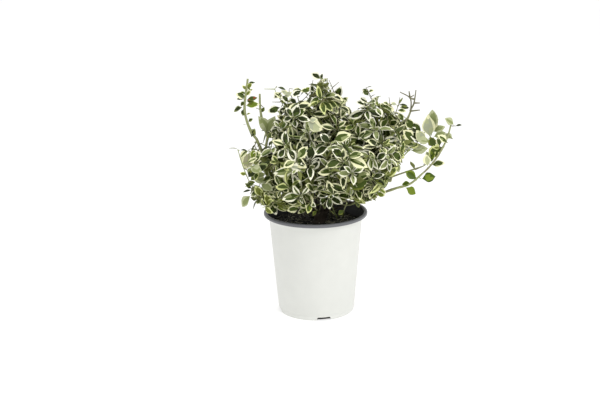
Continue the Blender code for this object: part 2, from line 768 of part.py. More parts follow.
def main():
    clear_scene()
    build_pot()
    build_mix(random.Random(SEED))
    build_main_stem()
    limbs = plan_limbs()
    for name, limb in limbs.items():
        build_bough(name, limbs)
        build_mass(name, limb, limb_balls(name, limbs), random.Random("%s %d" % (name, SEED)))


main()
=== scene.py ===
import json
import math
import random

import bmesh
import bpy
import numpy as np
from mathutils import Matrix, Vector, noise

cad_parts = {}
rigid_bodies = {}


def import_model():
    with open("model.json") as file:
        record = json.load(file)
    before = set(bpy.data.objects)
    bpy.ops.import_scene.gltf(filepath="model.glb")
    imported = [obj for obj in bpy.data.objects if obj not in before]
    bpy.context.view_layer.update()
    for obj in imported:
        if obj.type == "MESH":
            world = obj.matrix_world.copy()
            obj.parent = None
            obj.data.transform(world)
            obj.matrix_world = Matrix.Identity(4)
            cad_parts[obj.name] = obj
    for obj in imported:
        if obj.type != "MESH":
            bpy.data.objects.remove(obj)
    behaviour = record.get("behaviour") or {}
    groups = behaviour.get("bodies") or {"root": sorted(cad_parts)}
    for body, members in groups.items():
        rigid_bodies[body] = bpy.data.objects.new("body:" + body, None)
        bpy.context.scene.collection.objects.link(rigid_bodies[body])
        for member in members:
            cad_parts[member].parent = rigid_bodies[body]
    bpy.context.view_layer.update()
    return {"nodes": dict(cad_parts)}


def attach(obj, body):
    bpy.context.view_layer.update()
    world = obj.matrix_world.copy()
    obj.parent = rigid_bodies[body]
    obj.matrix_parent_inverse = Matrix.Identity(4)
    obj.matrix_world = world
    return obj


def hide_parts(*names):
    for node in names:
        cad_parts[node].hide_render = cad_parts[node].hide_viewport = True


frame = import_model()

print("frame loaded,", len(frame["nodes"]), "nodes")

up = np.array((0.0, 0.0, 1.0))


def linearColour(code):
    # sRGB hex to the linear values that the shader wants
    parts = [int(code[at:at + 2], 16) / 255 for at in (0, 2, 4)]
    return [part / 12.92 if part <= 0.04045 else ((part + 0.055) / 1.055) ** 2.4 for part in parts] + [1.0]


def addNode(tree, kind, inputs=(), links=(), **settings):
    node = tree.nodes.new(kind)
    for name, value in settings.items():
        setattr(node, name, value)
    for name, value in dict(inputs).items():
        node.inputs[name].default_value = value
    for name, source in dict(links).items():
        tree.links.new(source, node.inputs[name])
    return node


def plainMaterial(name, code, roughness, **sockets):
    material = bpy.data.materials.new(name)
    material.use_nodes = True
    shader = material.node_tree.nodes["Principled BSDF"]
    shader.inputs["Base Color"].default_value = linearColour(code)
    shader.inputs["Roughness"].default_value = roughness
    for socket, value in sockets.items():
        shader.inputs[socket.replace("_", " ")].default_value = value
    material.diffuse_color = linearColour(code)
    return material


def plainMaterials(name, codes, roughness):
    return [plainMaterial("%s%d" % (name, index), code, roughness) for index, code in enumerate(codes)]


def wirePattern(material, colour, roughness, height, strength, depth):
    # a pattern's colour, roughness and relief go to the shader
    tree = material.node_tree
    shader = tree.nodes["Principled BSDF"]
    relief = addNode(tree, "ShaderNodeBump", {"Strength": strength, "Distance": depth}, {"Height": height})
    tree.links.new(colour, shader.inputs["Base Color"])
    tree.links.new(roughness, shader.inputs["Roughness"])
    tree.links.new(relief.outputs["Normal"], shader.inputs["Normal"])
    return material


def addPiece(name, mesh, materials, nodes=(), smoothAngle=None):
    for material in materials:
        mesh.materials.append(material)
    if smoothAngle:
        mesh.shade_smooth()
        mesh.set_sharp_from_angle(angle=math.radians(smoothAngle))
    piece = bpy.data.objects.new(name, mesh)
    bpy.context.scene.collection.objects.link(piece)
    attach(piece, "root")
    if nodes:
        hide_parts(*nodes)
    return piece


def meshFrom(bm, name):
    mesh = bpy.data.meshes.new(name)
    bm.to_mesh(mesh)
    bm.free()
    return mesh


# camera, floor and light: a white studio, lit from all round and a little more from above and the right
studio = {
    "pitch": 15.34, "yaw": -0.917, "roll": -0.776,
    "position": (0.0, -1.5329, 0.6020),
    "lens": 59.95, "sensor": 36.0, "photo": (600, 400),
    "floorSize": 14.0, "floorColour": "b3b3b1", "floorGlow": 0.63,
    "skyStrength": 0.80,
    "keyPower": 22.0, "keyFrom": (1.5, -1.2, 1.8), "keySize": 0.9,
    "topPower": 13.0, "topFrom": (-0.4, -0.5, 2.2), "topSize": 1.2,
}


def studioAxes():
    pitch, yaw, roll = (math.radians(studio[part]) for part in ("pitch", "yaw", "roll"))
    ahead = Vector((math.sin(yaw) * math.cos(pitch), math.cos(yaw) * math.cos(pitch), -math.sin(pitch)))
    level = Vector((math.cos(yaw), -math.sin(yaw), 0.0))
    upright = level.cross(ahead)
    across = level * math.cos(roll) + upright * math.sin(roll)
    return ahead, across, upright * math.cos(roll) - level * math.sin(roll)


sight = np.array(studioAxes())
viewpoint = np.array(studio["position"])
focal = studio["lens"] / studio["sensor"] * studio["photo"][0]
middlePixel = np.array(studio["photo"]) / 2


def photoPoint(pixel, depth):
    # where the sight line through a pixel of the photograph meets the upright plane at that depth
    aside, down = pixel - middlePixel
    ray = sight[0] + (sight[1] * aside - sight[2] * down) / focal
    return viewpoint + ray * (depth - viewpoint[1]) / ray[1]


def mixPoint(pixel):
    # where it meets the surface of the potting mix
    ray = photoPoint(pixel, 0.0) - viewpoint
    return viewpoint + ray * (mix["level"] - viewpoint[2]) / ray[2]


def photoPixel(point):
    away, aside, above = sight @ (point - viewpoint)
    return middlePixel + focal * np.array((aside, -above)) / away


def makeStudio():
    scene = bpy.context.scene
    ahead, across, above = studioAxes()
    lens = bpy.data.cameras.new("studioCamera")
    lens.lens = studio["lens"]
    lens.sensor_width = studio["sensor"]
    camera = bpy.data.objects.new("studioCamera", lens)
    place = Matrix((across, above, -ahead)).transposed().to_4x4()
    place.translation = studio["position"]
    camera.matrix_world = place
    scene.collection.objects.link(camera)
    scene.camera = camera

    floorMesh = bmesh.new()
    bmesh.ops.create_grid(floorMesh, x_segments=1, y_segments=1, size=studio["floorSize"])
    floor = bpy.data.objects.new("floor", meshFrom(floorMesh, "floor"))
    # matt paper, bright enough to run into the white behind it
    floor.data.materials.append(plainMaterial("studioPaper", studio["floorColour"], 0.9,
                                              Emission_Color=(1.0, 1.0, 1.0, 1.0),
                                              Emission_Strength=studio["floorGlow"]))
    scene.collection.objects.link(floor)

    world = bpy.data.worlds.new("studioSky")
    world.use_nodes = True
    world.node_tree.nodes["Background"].inputs["Color"].default_value = (1.0, 1.0, 1.0, 1.0)
    world.node_tree.nodes["Background"].inputs["Strength"].default_value = studio["skyStrength"]
    scene.world = world
    for name in ("key", "top"):
        light = bpy.data.lights.new(name + "Light", "AREA")
        light.energy = studio[name + "Power"]
        light.size = studio[name + "Size"]
        lamp = bpy.data.objects.new(name + "Light", light)
        lamp.location = studio[name + "From"]
        aim = Vector((0.0, 0.0, 0.2)) - Vector(studio[name + "From"])
        lamp.rotation_euler = aim.to_track_quat("-Z", "Y").to_euler()
        scene.collection.objects.link(lamp)
    scene.view_settings.view_transform = "Standard"


makeStudio()
print("studio made")


# the pot: polypropylene in two layers, a white wall and a black lining that rolls over into the rim. The
# rim is coloured a lighter grey than the black lining it is rolled from: partly its own grey, partly
# painted light, a lit copy of the lining.
# A skin is its colour, its roughness, and how strong and how wide the ripples in it are
pot = {
    "height": 0.164, "baseRadius": 0.061, "wallTopRadius": 0.074, "wallTop": 0.151,
    "stepRadius": 0.0773, "stepTop": 0.1565,
    "rimRadius": 0.0825, "rimWidth": 0.0055, "rimDepth": 0.0052, "rimRound": 0.0019,
    "white": 0.0007, "wall": 0.0013, "floor": 0.0018, "gap": 0.00006, "lap": 0.0004,
    "baseRound": 0.0012, "ringHeight": 0.0066, "ringHalf": 0.0008, "ringDepth": 0.0003,
    "bandHeight": 0.1475, "bandDepth": 0.0002, "edge": 0.0006, "stepRound": 0.0008, "blackUnder": 0.0018,
    "wallRings": (0.05, 0.1), "rimFlat": 0.7, "steps": 144, "smooth": 40,
    "notches": 4, "notchAzimuth": -79.0, "notchBottom": 0.026, "notchTop": 0.019, "notchHeight": 0.0054,
    "notchDepth": 0.006,
    # the rim's lighter grey skin is partly painted light: a lit copy of the black lining's plastic
    "whiteSkin": ("dbdcd7", 0.42, 0.25, 0.022), "litRimSkin": ("66676b", 0.4, 0.15, 0.03),
    "blackSkin": ("1b1b1d", 0.5, 0.2, 0.02), "index": 1.49, "grain": 0.0016, "rippleDepth": 0.0004,
    "tints": (0.955, 1.03), "shines": (-0.06, 0.08),
}


def wallRadius(height):
    return pot["baseRadius"] + (pot["wallTopRadius"] - pot["baseRadius"]) * height / pot["wallTop"]


def mouldedPlastic(name, code, roughness, bump, rippleSize):
    # injection-moulded polypropylene: a satin skin, barely uneven, with a faint flow ripple in its shine
    material = plainMaterial(name, code, roughness, IOR=pot["index"])
    tree = material.node_tree
    place = addNode(tree, "ShaderNodeTexCoord").outputs["Object"]
    ripple = addNode(tree, "ShaderNodeTexNoise", {"Scale": 1 / rippleSize, "Detail": 2.0},
                     {"Vector": place})
    grain = addNode(tree, "ShaderNodeTexNoise", {"Scale": 1 / pot["grain"], "Detail": 1.0},
                    {"Vector": place})
    least, most = pot["tints"]
    tint = addNode(tree, "ShaderNodeMapRange", {"To Min": least, "To Max": most},
                   {"Value": ripple.outputs["Fac"]})
    colour = addNode(tree, "ShaderNodeVectorMath", {0: linearColour(code)[:3]},
                     {"Scale": tint.outputs["Result"]}, operation="SCALE")
    least, most = pot["shines"]
    shine = addNode(tree, "ShaderNodeMapRange", {"To Min": roughness + least, "To Max": roughness + most},
                    {"Value": grain.outputs["Fac"]})
    return wirePattern(material, colour.outputs["Vector"], shine.outputs["Result"], ripple.outputs["Fac"],
                       bump, pot["rippleDepth"])


def spunMesh(name, profile, steps):
    bm = bmesh.new()
    verts = [bm.verts.new((radius, 0.0, height)) for radius, height in profile]
    edges = [bm.edges.new(pair) for pair in zip(verts, verts[1:])]
    bmesh.ops.spin(bm, geom=verts + edges, cent=(0, 0, 0), axis=(0, 0, 1), angle=2 * math.pi, steps=steps,
                   use_merge=True)
    bmesh.ops.remove_doubles(bm, verts=bm.verts, dist=1e-6)
    bmesh.ops.recalc_face_normals(bm, faces=bm.faces)
    return meshFrom(bm, name)


def cutNotches(piece):
    # tapered drain slots under the edge of the floor
    for index in range(pot["notches"]):
        bm = bmesh.new()
        bmesh.ops.create_cube(bm, size=1.0)
        for vert in bm.verts:
            width = pot["notchTop"] if vert.co.z > 0 else 2 * pot["notchBottom"] - pot["notchTop"]
            height = pot["notchHeight"] if vert.co.z > 0 else -pot["notchHeight"]
            vert.co = (pot["baseRadius"] + 2 * vert.co.x * pot["notchDepth"], vert.co.y * width, height)
        turn = math.radians(pot["notchAzimuth"]) + 2 * math.pi * index / pot["notches"]
        bmesh.ops.rotate(bm, verts=bm.verts, cent=(0, 0, 0), matrix=Matrix.Rotation(turn, 3, "Z"))
        cutter = bpy.data.objects.new("notchCutter", meshFrom(bm, "notchCutter"))
        bpy.context.scene.collection.objects.link(cutter)
        cut = piece.modifiers.new("notch", "BOOLEAN")
        cut.operation = "DIFFERENCE"
        cut.object = cutter
        view = bpy.context.evaluated_depsgraph_get()
        opened = bpy.data.meshes.new_from_object(piece.evaluated_get(view))
        piece.modifiers.clear()
        piece.data = opened
        bpy.data.objects.remove(cutter, do_unlink=True)


def makePot():
    white, wall, gap, lap, edge = (pot[part] for part in ("white", "wall", "gap", "lap", "edge"))
    base, bend, ring, half = (pot[part] for part in ("baseRadius", "baseRound", "ringHeight", "ringHalf"))
    wallTop, wallRim, step, stepTop = (pot[part] for part in
                                       ("wallTop", "wallTopRadius", "stepRadius", "stepTop"))
    band, raised = pot["bandHeight"], pot["bandDepth"]
    rimLow = pot["height"] - pot["rimDepth"]
    skin = [(0.0, 0.0)]
    for angle in (math.radians(turn) for turn in (0, 30, 60, 90)):
        skin.append((base - bend * (1 - math.sin(angle)), bend * (1 - math.cos(angle))))
    skin += [(wallRadius(ring - half), ring - half), (wallRadius(ring) - pot["ringDepth"], ring),
             (wallRadius(ring + half), ring + half), *((wallRadius(at), at) for at in pot["wallRings"]),
             (wallRadius(band - edge), band - edge), (wallRadius(band) + raised, band),
             (wallRim + raised, wallTop), (step - pot["stepRound"], stepTop - edge), (step, stepTop + edge),
             (step, rimLow + lap)]
    inner = [(step - white, rimLow + lap), (step - white, stepTop), (wallRim - white, wallTop),
             (wallRadius(white) - white, white), (0.0, white)]
    shell = addPiece("potWall", spunMesh("potWall", skin + inner, pot["steps"]),
                     [mouldedPlastic("whitePolypropylene", *pot["whiteSkin"])],
                     ["pot"], pot["smooth"])
    cutNotches(shell)

    outside = [(0.0, white + gap), (wallRadius(white) - white - gap, white + gap),
               (wallRim - white - gap, wallTop), (step - white - gap, stepTop),
               (step - white - gap, rimLow + edge), (step + 0.5 * lap, rimLow + edge), (step + lap, rimLow)]
    rimOut, rimIn, bend = pot["rimRadius"], pot["rimRadius"] - pot["rimWidth"], pot["rimRound"]
    high, flat = pot["height"] - bend, pot["rimFlat"]
    corners = [(rimOut - bend, rimLow + bend * flat, -90, flat), (rimOut - bend, high, 0, 1.0),
               (rimIn + bend, high, 90, 1.0)]
    roll = []
    for radius, height, start, squash in corners:
        for angle in (math.radians(start + turn) for turn in np.linspace(0, 90, 5)):
            roll.append((radius + bend * math.cos(angle), height + bend * squash * math.sin(angle)))
    lining = [(step - wall, stepTop), (wallRim - wall, wallTop),
              (wallRadius(pot["floor"]) - wall, pot["floor"]), (0.0, pot["floor"])]
    piece = addPiece("potLining", spunMesh("potLining", outside + roll + lining, pot["steps"]),
                     # grey rim slot: partly painted light, the black layer drawn lighter where the rim
                     # catches the light
                     [mouldedPlastic("litGreyRimPolypropylene", *pot["litRimSkin"]),
                      mouldedPlastic("blackLiningPolypropylene", *pot["blackSkin"])],
                     ["pot"], pot["smooth"])
    cutNotches(piece)
    # faces inside and below the rim top get the black lining; the rim and its top get the lighter grey that
    # is partly painted light
    for face in piece.data.polygons:
        centre = face.center
        inside = math.hypot(centre.x, centre.y) < rimIn + lap
        face.material_index = 1 if inside and centre.z < pot["height"] - pot["blackUnder"] else 0


makePot()
print("pot made")


# potting mix: dark, damp peat and fine bark, crumbly, a finger's width under the rim
mix = {
    "level": 0.146, "clear": 0.0019, "inset": 0.003, "floor": 0.0021, "shoulder": 0.0030, "steps": 110,
    "rings": 26, "smooth": 60, "lump": 0.0022, "lumpPitch": 45, "crumb": 0.0011, "crumbPitch": 260,
    "crumbNoise": (0.7, 2.1, 4), "crumbColours": ("0b0b09", "3d3a31"), "crumbStops": (0.35, 0.75),
    "colour": "1b1a17", "roughness": 0.93, "dryness": (0.8, 1.0), "grain": 0.0025, "relief": (0.8, 0.0012),
    "chips": 760, "chipSize": (0.0012, 0.0052), "chipWidth": (0.4, 0.8), "chipDepth": (0.2, 0.45),
    "chipTurn": 6.3, "chipTilt": 0.5, "chipLift": 0.05, "chipMargin": 0.006, "chipBevel": 0.2,
    "chipRoughness": 0.85,
    "chipColours": ("26241e", "47433a", "12120f", "a5a292"), "chipShares": (0, 0, 1, 1, 2, 2, 3),
    "fibres": 110, "fibreLength": (0.006, 0.020), "fibreSteps": 5, "fibreBow": 0.4,
    "fibreRadius": 0.00035, "fibreLift": 0.0007, "fibreReach": 0.060, "fibreEdge": 0.066,
    "fibreColours": ("8a8671", "b4b09c"), "fibreRoughness": 0.8,
    "seed": 5,
}


def mixHeight(x, y):
    spot = Vector((x, y, 0.0))
    swell = noise.noise(spot * mix["lumpPitch"]) * mix["lump"]
    crumbs = noise.fractal(spot * mix["crumbPitch"], *mix["crumbNoise"]) * mix["crumb"]
    return mix["level"] + swell + crumbs


def mixSpot(chance, widest):
    # a place on the mix, dealt evenly over its round
    reach = widest * math.sqrt(chance.random())
    angle = chance.uniform(0, 2 * math.pi)
    return reach * math.cos(angle), reach * math.sin(angle)


def earthMaterial():
    # damp peat: almost black and quite dull, with browner crumbs where it has dried
    material = plainMaterial("dampPeat", mix["colour"], mix["roughness"])
    tree = material.node_tree
    place = addNode(tree, "ShaderNodeTexCoord")
    crumbs = addNode(tree, "ShaderNodeTexNoise",
                     {"Scale": 1 / mix["grain"], "Detail": 5.0, "Roughness": 0.7},
                     {"Vector": place.outputs["Object"]})
    colour = addNode(tree, "ShaderNodeValToRGB", (), {"Fac": crumbs.outputs["Fac"]})
    for stop, position, code in zip(colour.color_ramp.elements, mix["crumbStops"], mix["crumbColours"]):
        stop.position = position
        stop.color = linearColour(code)
    least, most = mix["dryness"]
    dryness = addNode(tree, "ShaderNodeMapRange", {"To Min": least, "To Max": most},
                      {"Value": crumbs.outputs["Fac"]})
    return wirePattern(material, colour.outputs["Color"], dryness.outputs["Result"], crumbs.outputs["Fac"],
                       *mix["relief"])


def tubeArrays(path, radii, sides):
    # a tapering closed tube as point and face arrays, its rings carried along without twisting
    headings = tangentsOf(path)
    across = anyAcross(headings[0])
    angles = 2 * math.pi * np.arange(sides) / sides
    points = []
    for point, heading, radius in zip(path, headings, radii):
        across = squared(across, heading)
        ring = np.outer(np.cos(angles), across) + np.outer(np.sin(angles), np.cross(heading, across))
        points.append(point + radius * ring)
    last = (len(path) - 1) * sides
    faces = [tuple(range(sides - 1, -1, -1)), tuple(range(last, last + sides))]
    for low in range(0, last, sides):
        for side in range(sides):
            after = (side + 1) % sides
            faces.append((low + side, low + after, low + sides + after, low + sides + side))
    return np.concatenate(points), faces


def unit(vector):
    return vector / np.linalg.norm(vector)


def squared(vector, axis):
    # what a vector has square to an axis, one long
    return unit(vector - axis * np.dot(vector, axis))


def anyAcross(heading):
    return np.cross(heading, np.eye(3)[np.argmin(np.abs(heading))])


def tangentsOf(path):
    steps = np.gradient(path, axis=0)
    return steps / np.linalg.norm(steps, axis=1)[:, None]


def joinedMesh(name, parts):
    # parts are (points, faces, slot numbers); many small things become one mesh
    points, faces, slots, start = [], [], [], 0
    for partPoints, partFaces, partSlots in parts:
        points.append(partPoints)
        faces += [tuple(corner + start for corner in face) for face in partFaces]
        slots += partSlots
        start += len(partPoints)
    mesh = bpy.data.meshes.new(name)
    mesh.from_pydata(np.concatenate(points).tolist(), [], faces)
    mesh.polygons.foreach_set("material_index", slots)
    mesh.update()
    return mesh


def makeMix():
    edge = mix["level"] - mix["shoulder"]
    profile = [(0.0, mix["floor"]), (wallRadius(mix["floor"]) - mix["clear"], mix["floor"]),
               (wallRadius(edge) - mix["clear"], edge)]
    widest = wallRadius(edge) - mix["clear"] - mix["inset"]
    profile += [(widest * (1 - ring / mix["rings"]), mix["level"]) for ring in range(mix["rings"] + 1)]
    mesh = spunMesh("pottingMix", profile, mix["steps"])
    for vert in mesh.vertices:
        if vert.co.z > mix["level"] - 0.0001:
            vert.co.z = mixHeight(vert.co.x, vert.co.y)
    addPiece("pottingMix", mesh, [earthMaterial()], ["potting_mix"], mix["smooth"])

    chance = random.Random(mix["seed"])
    block = bmesh.new()
    bmesh.ops.create_cube(block, size=1.0)
    bmesh.ops.bevel(block, geom=block.edges[:4], offset=mix["chipBevel"], affect="EDGES", segments=1,
                    profile=0.5, material=-1)
    points = np.array([vert.co for vert in block.verts])
    block.verts.index_update()
    faces = [tuple(vert.index for vert in face.verts) for face in block.faces]
    block.free()
    chips = []
    for _ in range(mix["chips"]):
        x, y = mixSpot(chance, wallRadius(edge) - mix["chipMargin"])
        size = mix["chipSize"][0] + (mix["chipSize"][1] - mix["chipSize"][0]) * chance.random() ** 3
        turn = np.array(Matrix.Rotation(chance.uniform(0, mix["chipTurn"]), 3, "Z")
                        @ Matrix.Rotation(chance.uniform(-mix["chipTilt"], mix["chipTilt"]), 3, "X"))
        shape = points * (size, size * chance.uniform(*mix["chipWidth"]),
                          size * chance.uniform(*mix["chipDepth"]))
        spot = (x, y, mixHeight(x, y) + size * mix["chipLift"])
        chips.append((shape @ turn.T + spot, faces, [chance.choice(mix["chipShares"])] * len(faces)))
    # composted bark: dull flakes, dark where damp and grey where they have dried
    bark = plainMaterials("barkChip", mix["chipColours"], mix["chipRoughness"])
    addPiece("barkChips", joinedMesh("barkChips", chips), bark, ["potting_mix"])

    fibres = []
    for _ in range(mix["fibres"]):
        path = [np.array((*mixSpot(chance, mix["fibreReach"]), 0.0))]
        turn, bow = chance.uniform(0, 2 * math.pi), chance.uniform(-mix["fibreBow"], mix["fibreBow"])
        length = chance.uniform(*mix["fibreLength"])
        for _ in range(mix["fibreSteps"]):
            turn += bow
            heading = np.array((math.cos(turn), math.sin(turn), 0.0))
            path.append(path[-1] + heading * length / mix["fibreSteps"])
        path = [point + up * (mixHeight(point[0], point[1]) + mix["fibreLift"]) for point in path
                if math.hypot(point[0], point[1]) < mix["fibreEdge"]]
        if len(path) > 2:
            tube, tubeFaces = tubeArrays(np.array(path), [mix["fibreRadius"]] * len(path), 4)
            fibres.append((tube, tubeFaces, [chance.choice((0, 1))] * len(tubeFaces)))
    # dead rootlets: pale and dull, like straw
    straw = plainMaterials("rootFibre", mix["fibreColours"], mix["fibreRoughness"])
    addPiece("rootFibres", joinedMesh("rootFibres", fibres), straw, ["potting_mix"],
             mix["smooth"])


makeMix()
print("potting mix made")


# how the plant branches: the same limbs and spaces as the solids, by the same rule
shrub = {
    "seed": 23,
    "stemCentre": (0.006, 0.0), "stemLean": 0.0015, "stemSunk": 0.001, "lumps": ((150, 0.16), (420, 0.10)),
    "knuckleHeight": 0.013, "knuckleRadius": 0.0115, "knuckleFrom": -35.0, "knuckleSteps": 8,
    "flareRadius": 0.0135, "flareShare": 0.82, "flareHeight": 0.002,
    "waistRadius": 0.0095, "waistHeight": 0.005, "footSteps": 40, "smooth": 60,
    "boughRadius": 0.0021, "boughTaper": 0.62, "boughBend": 0.45, "boughSpans": 5, "finer": 3,
    "boughSunk": 0.8, "forkShare": 0.85, "forkPull": 0.5, "threadSteps": 8,
    "stemTip": 0.0007, "stemBend": 0.4, "stemRise": 0.3, "stemStep": 0.002, "stemPoints": 13, "gap": 0.0003,
    "stoutStems": ("right_arch", "right_tip", "left_tall", "left_stub"), "stoutShare": 0.72,
    "reach": 0.93, "spacePull": 0.5, "twigMargin": 0.011, "twigShortest": 0.012,
    "boughSides": 9, "stemSides": 7, "uneven": (0.94, 1.04), "scar": 0.14, "scarEvery": 4,
    "scarFirst": 2, "barkColours": ("999f6e", "878060", "3f362a"), "barkStops": (0.3, 0.6, 0.95),
    "footAge": 0.9, "forkAge": 0.35, "tipAge": 0.1, "patchSize": 0.006, "patchShare": 0.45,
    "crackSize": 0.0011, "crackSpan": (0.3, 0.7), "crackShades": (0.72, 1.1), "crackShines": (0.62, 0.9),
    "relief": (0.6, 0.0004),
}

# centre and radii bound a mass; bearing and climb aim its bough, or parent and fork say what it leaves
# and beyond that it grows on from the tip, and foot is where it ends. The mass's own stem runs from there
# to stem by way of via, with a number of twigs and the tips branching off it. leafy and tipLeafy are how
# far leaves run down the stem and the tips, skirt is how low leaves may hang, leaf and stout scale the
# leaves and the bough's far end, and tones names the colours of its leaves
masses = {
    "top_left": dict(centre=(-0.022, -0.004, 0.300), radii=(0.058, 0.054, 0.064), bearing=200, climb=66,
                     twigs=24, leafy=0.03, tipLeafy=0.012,
                     tips=((-0.008, 0.014, 0.344), (-0.046, 0.020, 0.342), (-0.030, 0.030, 0.336))),
    "top_middle": dict(centre=(0.018, 0.004, 0.316), radii=(0.046, 0.054, 0.070), bearing=95, climb=72,
                       twigs=27, leafy=0.04, tipLeafy=0.018,
                       tips=((0.000, 0.004, 0.360), (0.019, 0.000, 0.358), (0.030, 0.012, 0.354),
                             (0.013, -0.016, 0.352), (0.010, 0.020, 0.356), (0.022, -0.012, 0.344))),
    "top_right": dict(centre=(0.086, 0.002, 0.296), radii=(0.058, 0.054, 0.062), bearing=340, climb=62,
                      twigs=24, leafy=0.03, tipLeafy=0.013,
                      tips=((0.080, 0.004, 0.340), (0.094, 0.020, 0.338), (0.108, -0.004, 0.330),
                            (0.079, -0.022, 0.330), (0.122, 0.000, 0.318))),
    "front_left": dict(centre=(-0.020, -0.054, 0.232), radii=(0.056, 0.052, 0.058), bearing=236, climb=34,
                       twigs=29, skirt=0.198),
    "front_middle": dict(centre=(0.038, -0.062, 0.238), radii=(0.050, 0.050, 0.062), bearing=282, climb=38,
                         twigs=29, skirt=0.212),
    "front_right": dict(centre=(0.088, -0.044, 0.238), radii=(0.052, 0.050, 0.058), bearing=317, climb=36,
                        twigs=25, skirt=0.202),
    "right": dict(centre=(0.112, 0.012, 0.244), radii=(0.050, 0.052, 0.054), bearing=15, climb=28,
                  twigs=22),
    "left": dict(centre=(-0.054, -0.010, 0.242), radii=(0.042, 0.050, 0.054), parent="left_tall", fork=0.3,
                 foot=(-0.037, -0.022, 0.206), twigs=20, tips=((-0.064, -0.032, 0.276),)),
    "back_left": dict(centre=(-0.040, 0.052, 0.250), radii=(0.054, 0.052, 0.060), bearing=138, climb=36,
                      twigs=30),
    "back_middle": dict(centre=(0.008, 0.076, 0.262), radii=(0.050, 0.050, 0.064), bearing=98, climb=32,
                        twigs=30),
    "back_right": dict(centre=(0.066, 0.066, 0.254), radii=(0.054, 0.052, 0.060), bearing=56, climb=36,
                       twigs=30),
    "left_low": dict(centre=(-0.056, -0.044, 0.193), radii=(0.048, 0.042, 0.026), parent="front_left",
                     fork=0.35, twigs=14, skirt=0.176, tones="light"),
    "right_low": dict(centre=(0.074, -0.042, 0.194), radii=(0.046, 0.040, 0.026), parent="front_right",
                      fork=0.35, twigs=18, skirt=0.180, tones="lime", leafy=0.02),
    "back_low": dict(centre=(0.016, 0.066, 0.198), radii=(0.064, 0.042, 0.028), parent="back_middle",
                     fork=0.4, twigs=19),
    "front_low": dict(centre=(0.017, -0.064, 0.192), radii=(0.038, 0.030, 0.028), parent="front_middle",
                      fork=0.35, foot=(0.014, -0.042, 0.180), stem=(0.019, -0.077, 0.200), twigs=1,
                      leafy=0.0, skirt=0.182),
    "left_tall": dict(centre=(-0.103, -0.020, 0.332), radii=(0.027, 0.026, 0.054), bearing=184, climb=30,
                      foot=(-0.090, -0.017, 0.284), stem=(-0.101, -0.022, 0.379), twigs=0, leafy=0.0,
                      via=((-0.099, -0.019, 0.298), (-0.106, -0.020, 0.320), (-0.107, -0.021, 0.340)),
                      stout=1.7),
    "left_stub": dict(centre=(-0.081, 0.008, 0.312), radii=(0.022, 0.020, 0.044), parent="left_tall",
                      fork=0.7, foot=(-0.074, 0.008, 0.282), stem=(-0.085, 0.008, 0.351), twigs=0,
                      via=((-0.082, 0.008, 0.308), (-0.085, 0.008, 0.330)), leafy=0.0, stout=2.8),
    "left_shoot": dict(centre=(-0.106, -0.051, 0.234), radii=(0.030, 0.028, 0.052), parent="front_left",
                       fork=0.6, foot=(-0.084, -0.047, 0.200), stem=(-0.117, -0.054, 0.277), leafy=0.0,
                       via=((-0.099, -0.050, 0.221), (-0.110, -0.052, 0.250)), twigs=1, leaf=0.8,
                       stout=1.25),
    "right_fan": dict(centre=(0.178, 0.032, 0.284), radii=(0.034, 0.030, 0.038), parent="right", fork=0.7,
                      foot=(0.152, 0.027, 0.258), stem=(0.186, 0.035, 0.309), leafy=0.0, twigs=2, leaf=1.1,
                      tones="pale"),
    "right_arch": dict(centre=(0.150, -0.050, 0.222), radii=(0.036, 0.026, 0.030), bearing=338, climb=22,
                       foot=(0.124, -0.048, 0.212), stem=(0.166, -0.049, 0.237),
                       via=((0.145, -0.050, 0.219),), twigs=0, leafy=0.0, stout=1.5),
    "right_tip": dict(centre=(0.206, -0.041, 0.297), radii=(0.028, 0.025, 0.032), parent="right_arch",
                      beyond=True, foot=(0.197, -0.043, 0.279), stem=(0.207, -0.040, 0.312), leafy=0.0,
                      twigs=0, stout=1.9),
    "right_spray": dict(centre=(0.182, -0.010, 0.256), radii=(0.024, 0.024, 0.032), parent="right",
                        fork=0.3, foot=(0.166, -0.010, 0.236), stem=(0.184, -0.010, 0.278), leafy=0.0,
                        twigs=0, stout=1.3),
    "right_bare": dict(centre=(0.150, 0.008, 0.330), radii=(0.022, 0.016, 0.030), parent="top_right",
                       fork=0.6, foot=(0.141, 0.006, 0.308), stem=(0.149, 0.009, 0.321), twigs=0, leafy=0.0,
                       stout=1.2),
    "back_shoot_left": dict(centre=(-0.092, 0.072, 0.276), radii=(0.034, 0.034, 0.050), parent="back_left",
                            fork=0.6, stem=(-0.100, 0.068, 0.262), twigs=6),
    "back_shoot_right": dict(centre=(0.146, 0.078, 0.276), radii=(0.036, 0.034, 0.048),
                             parent="back_right", fork=0.6, twigs=8),
}
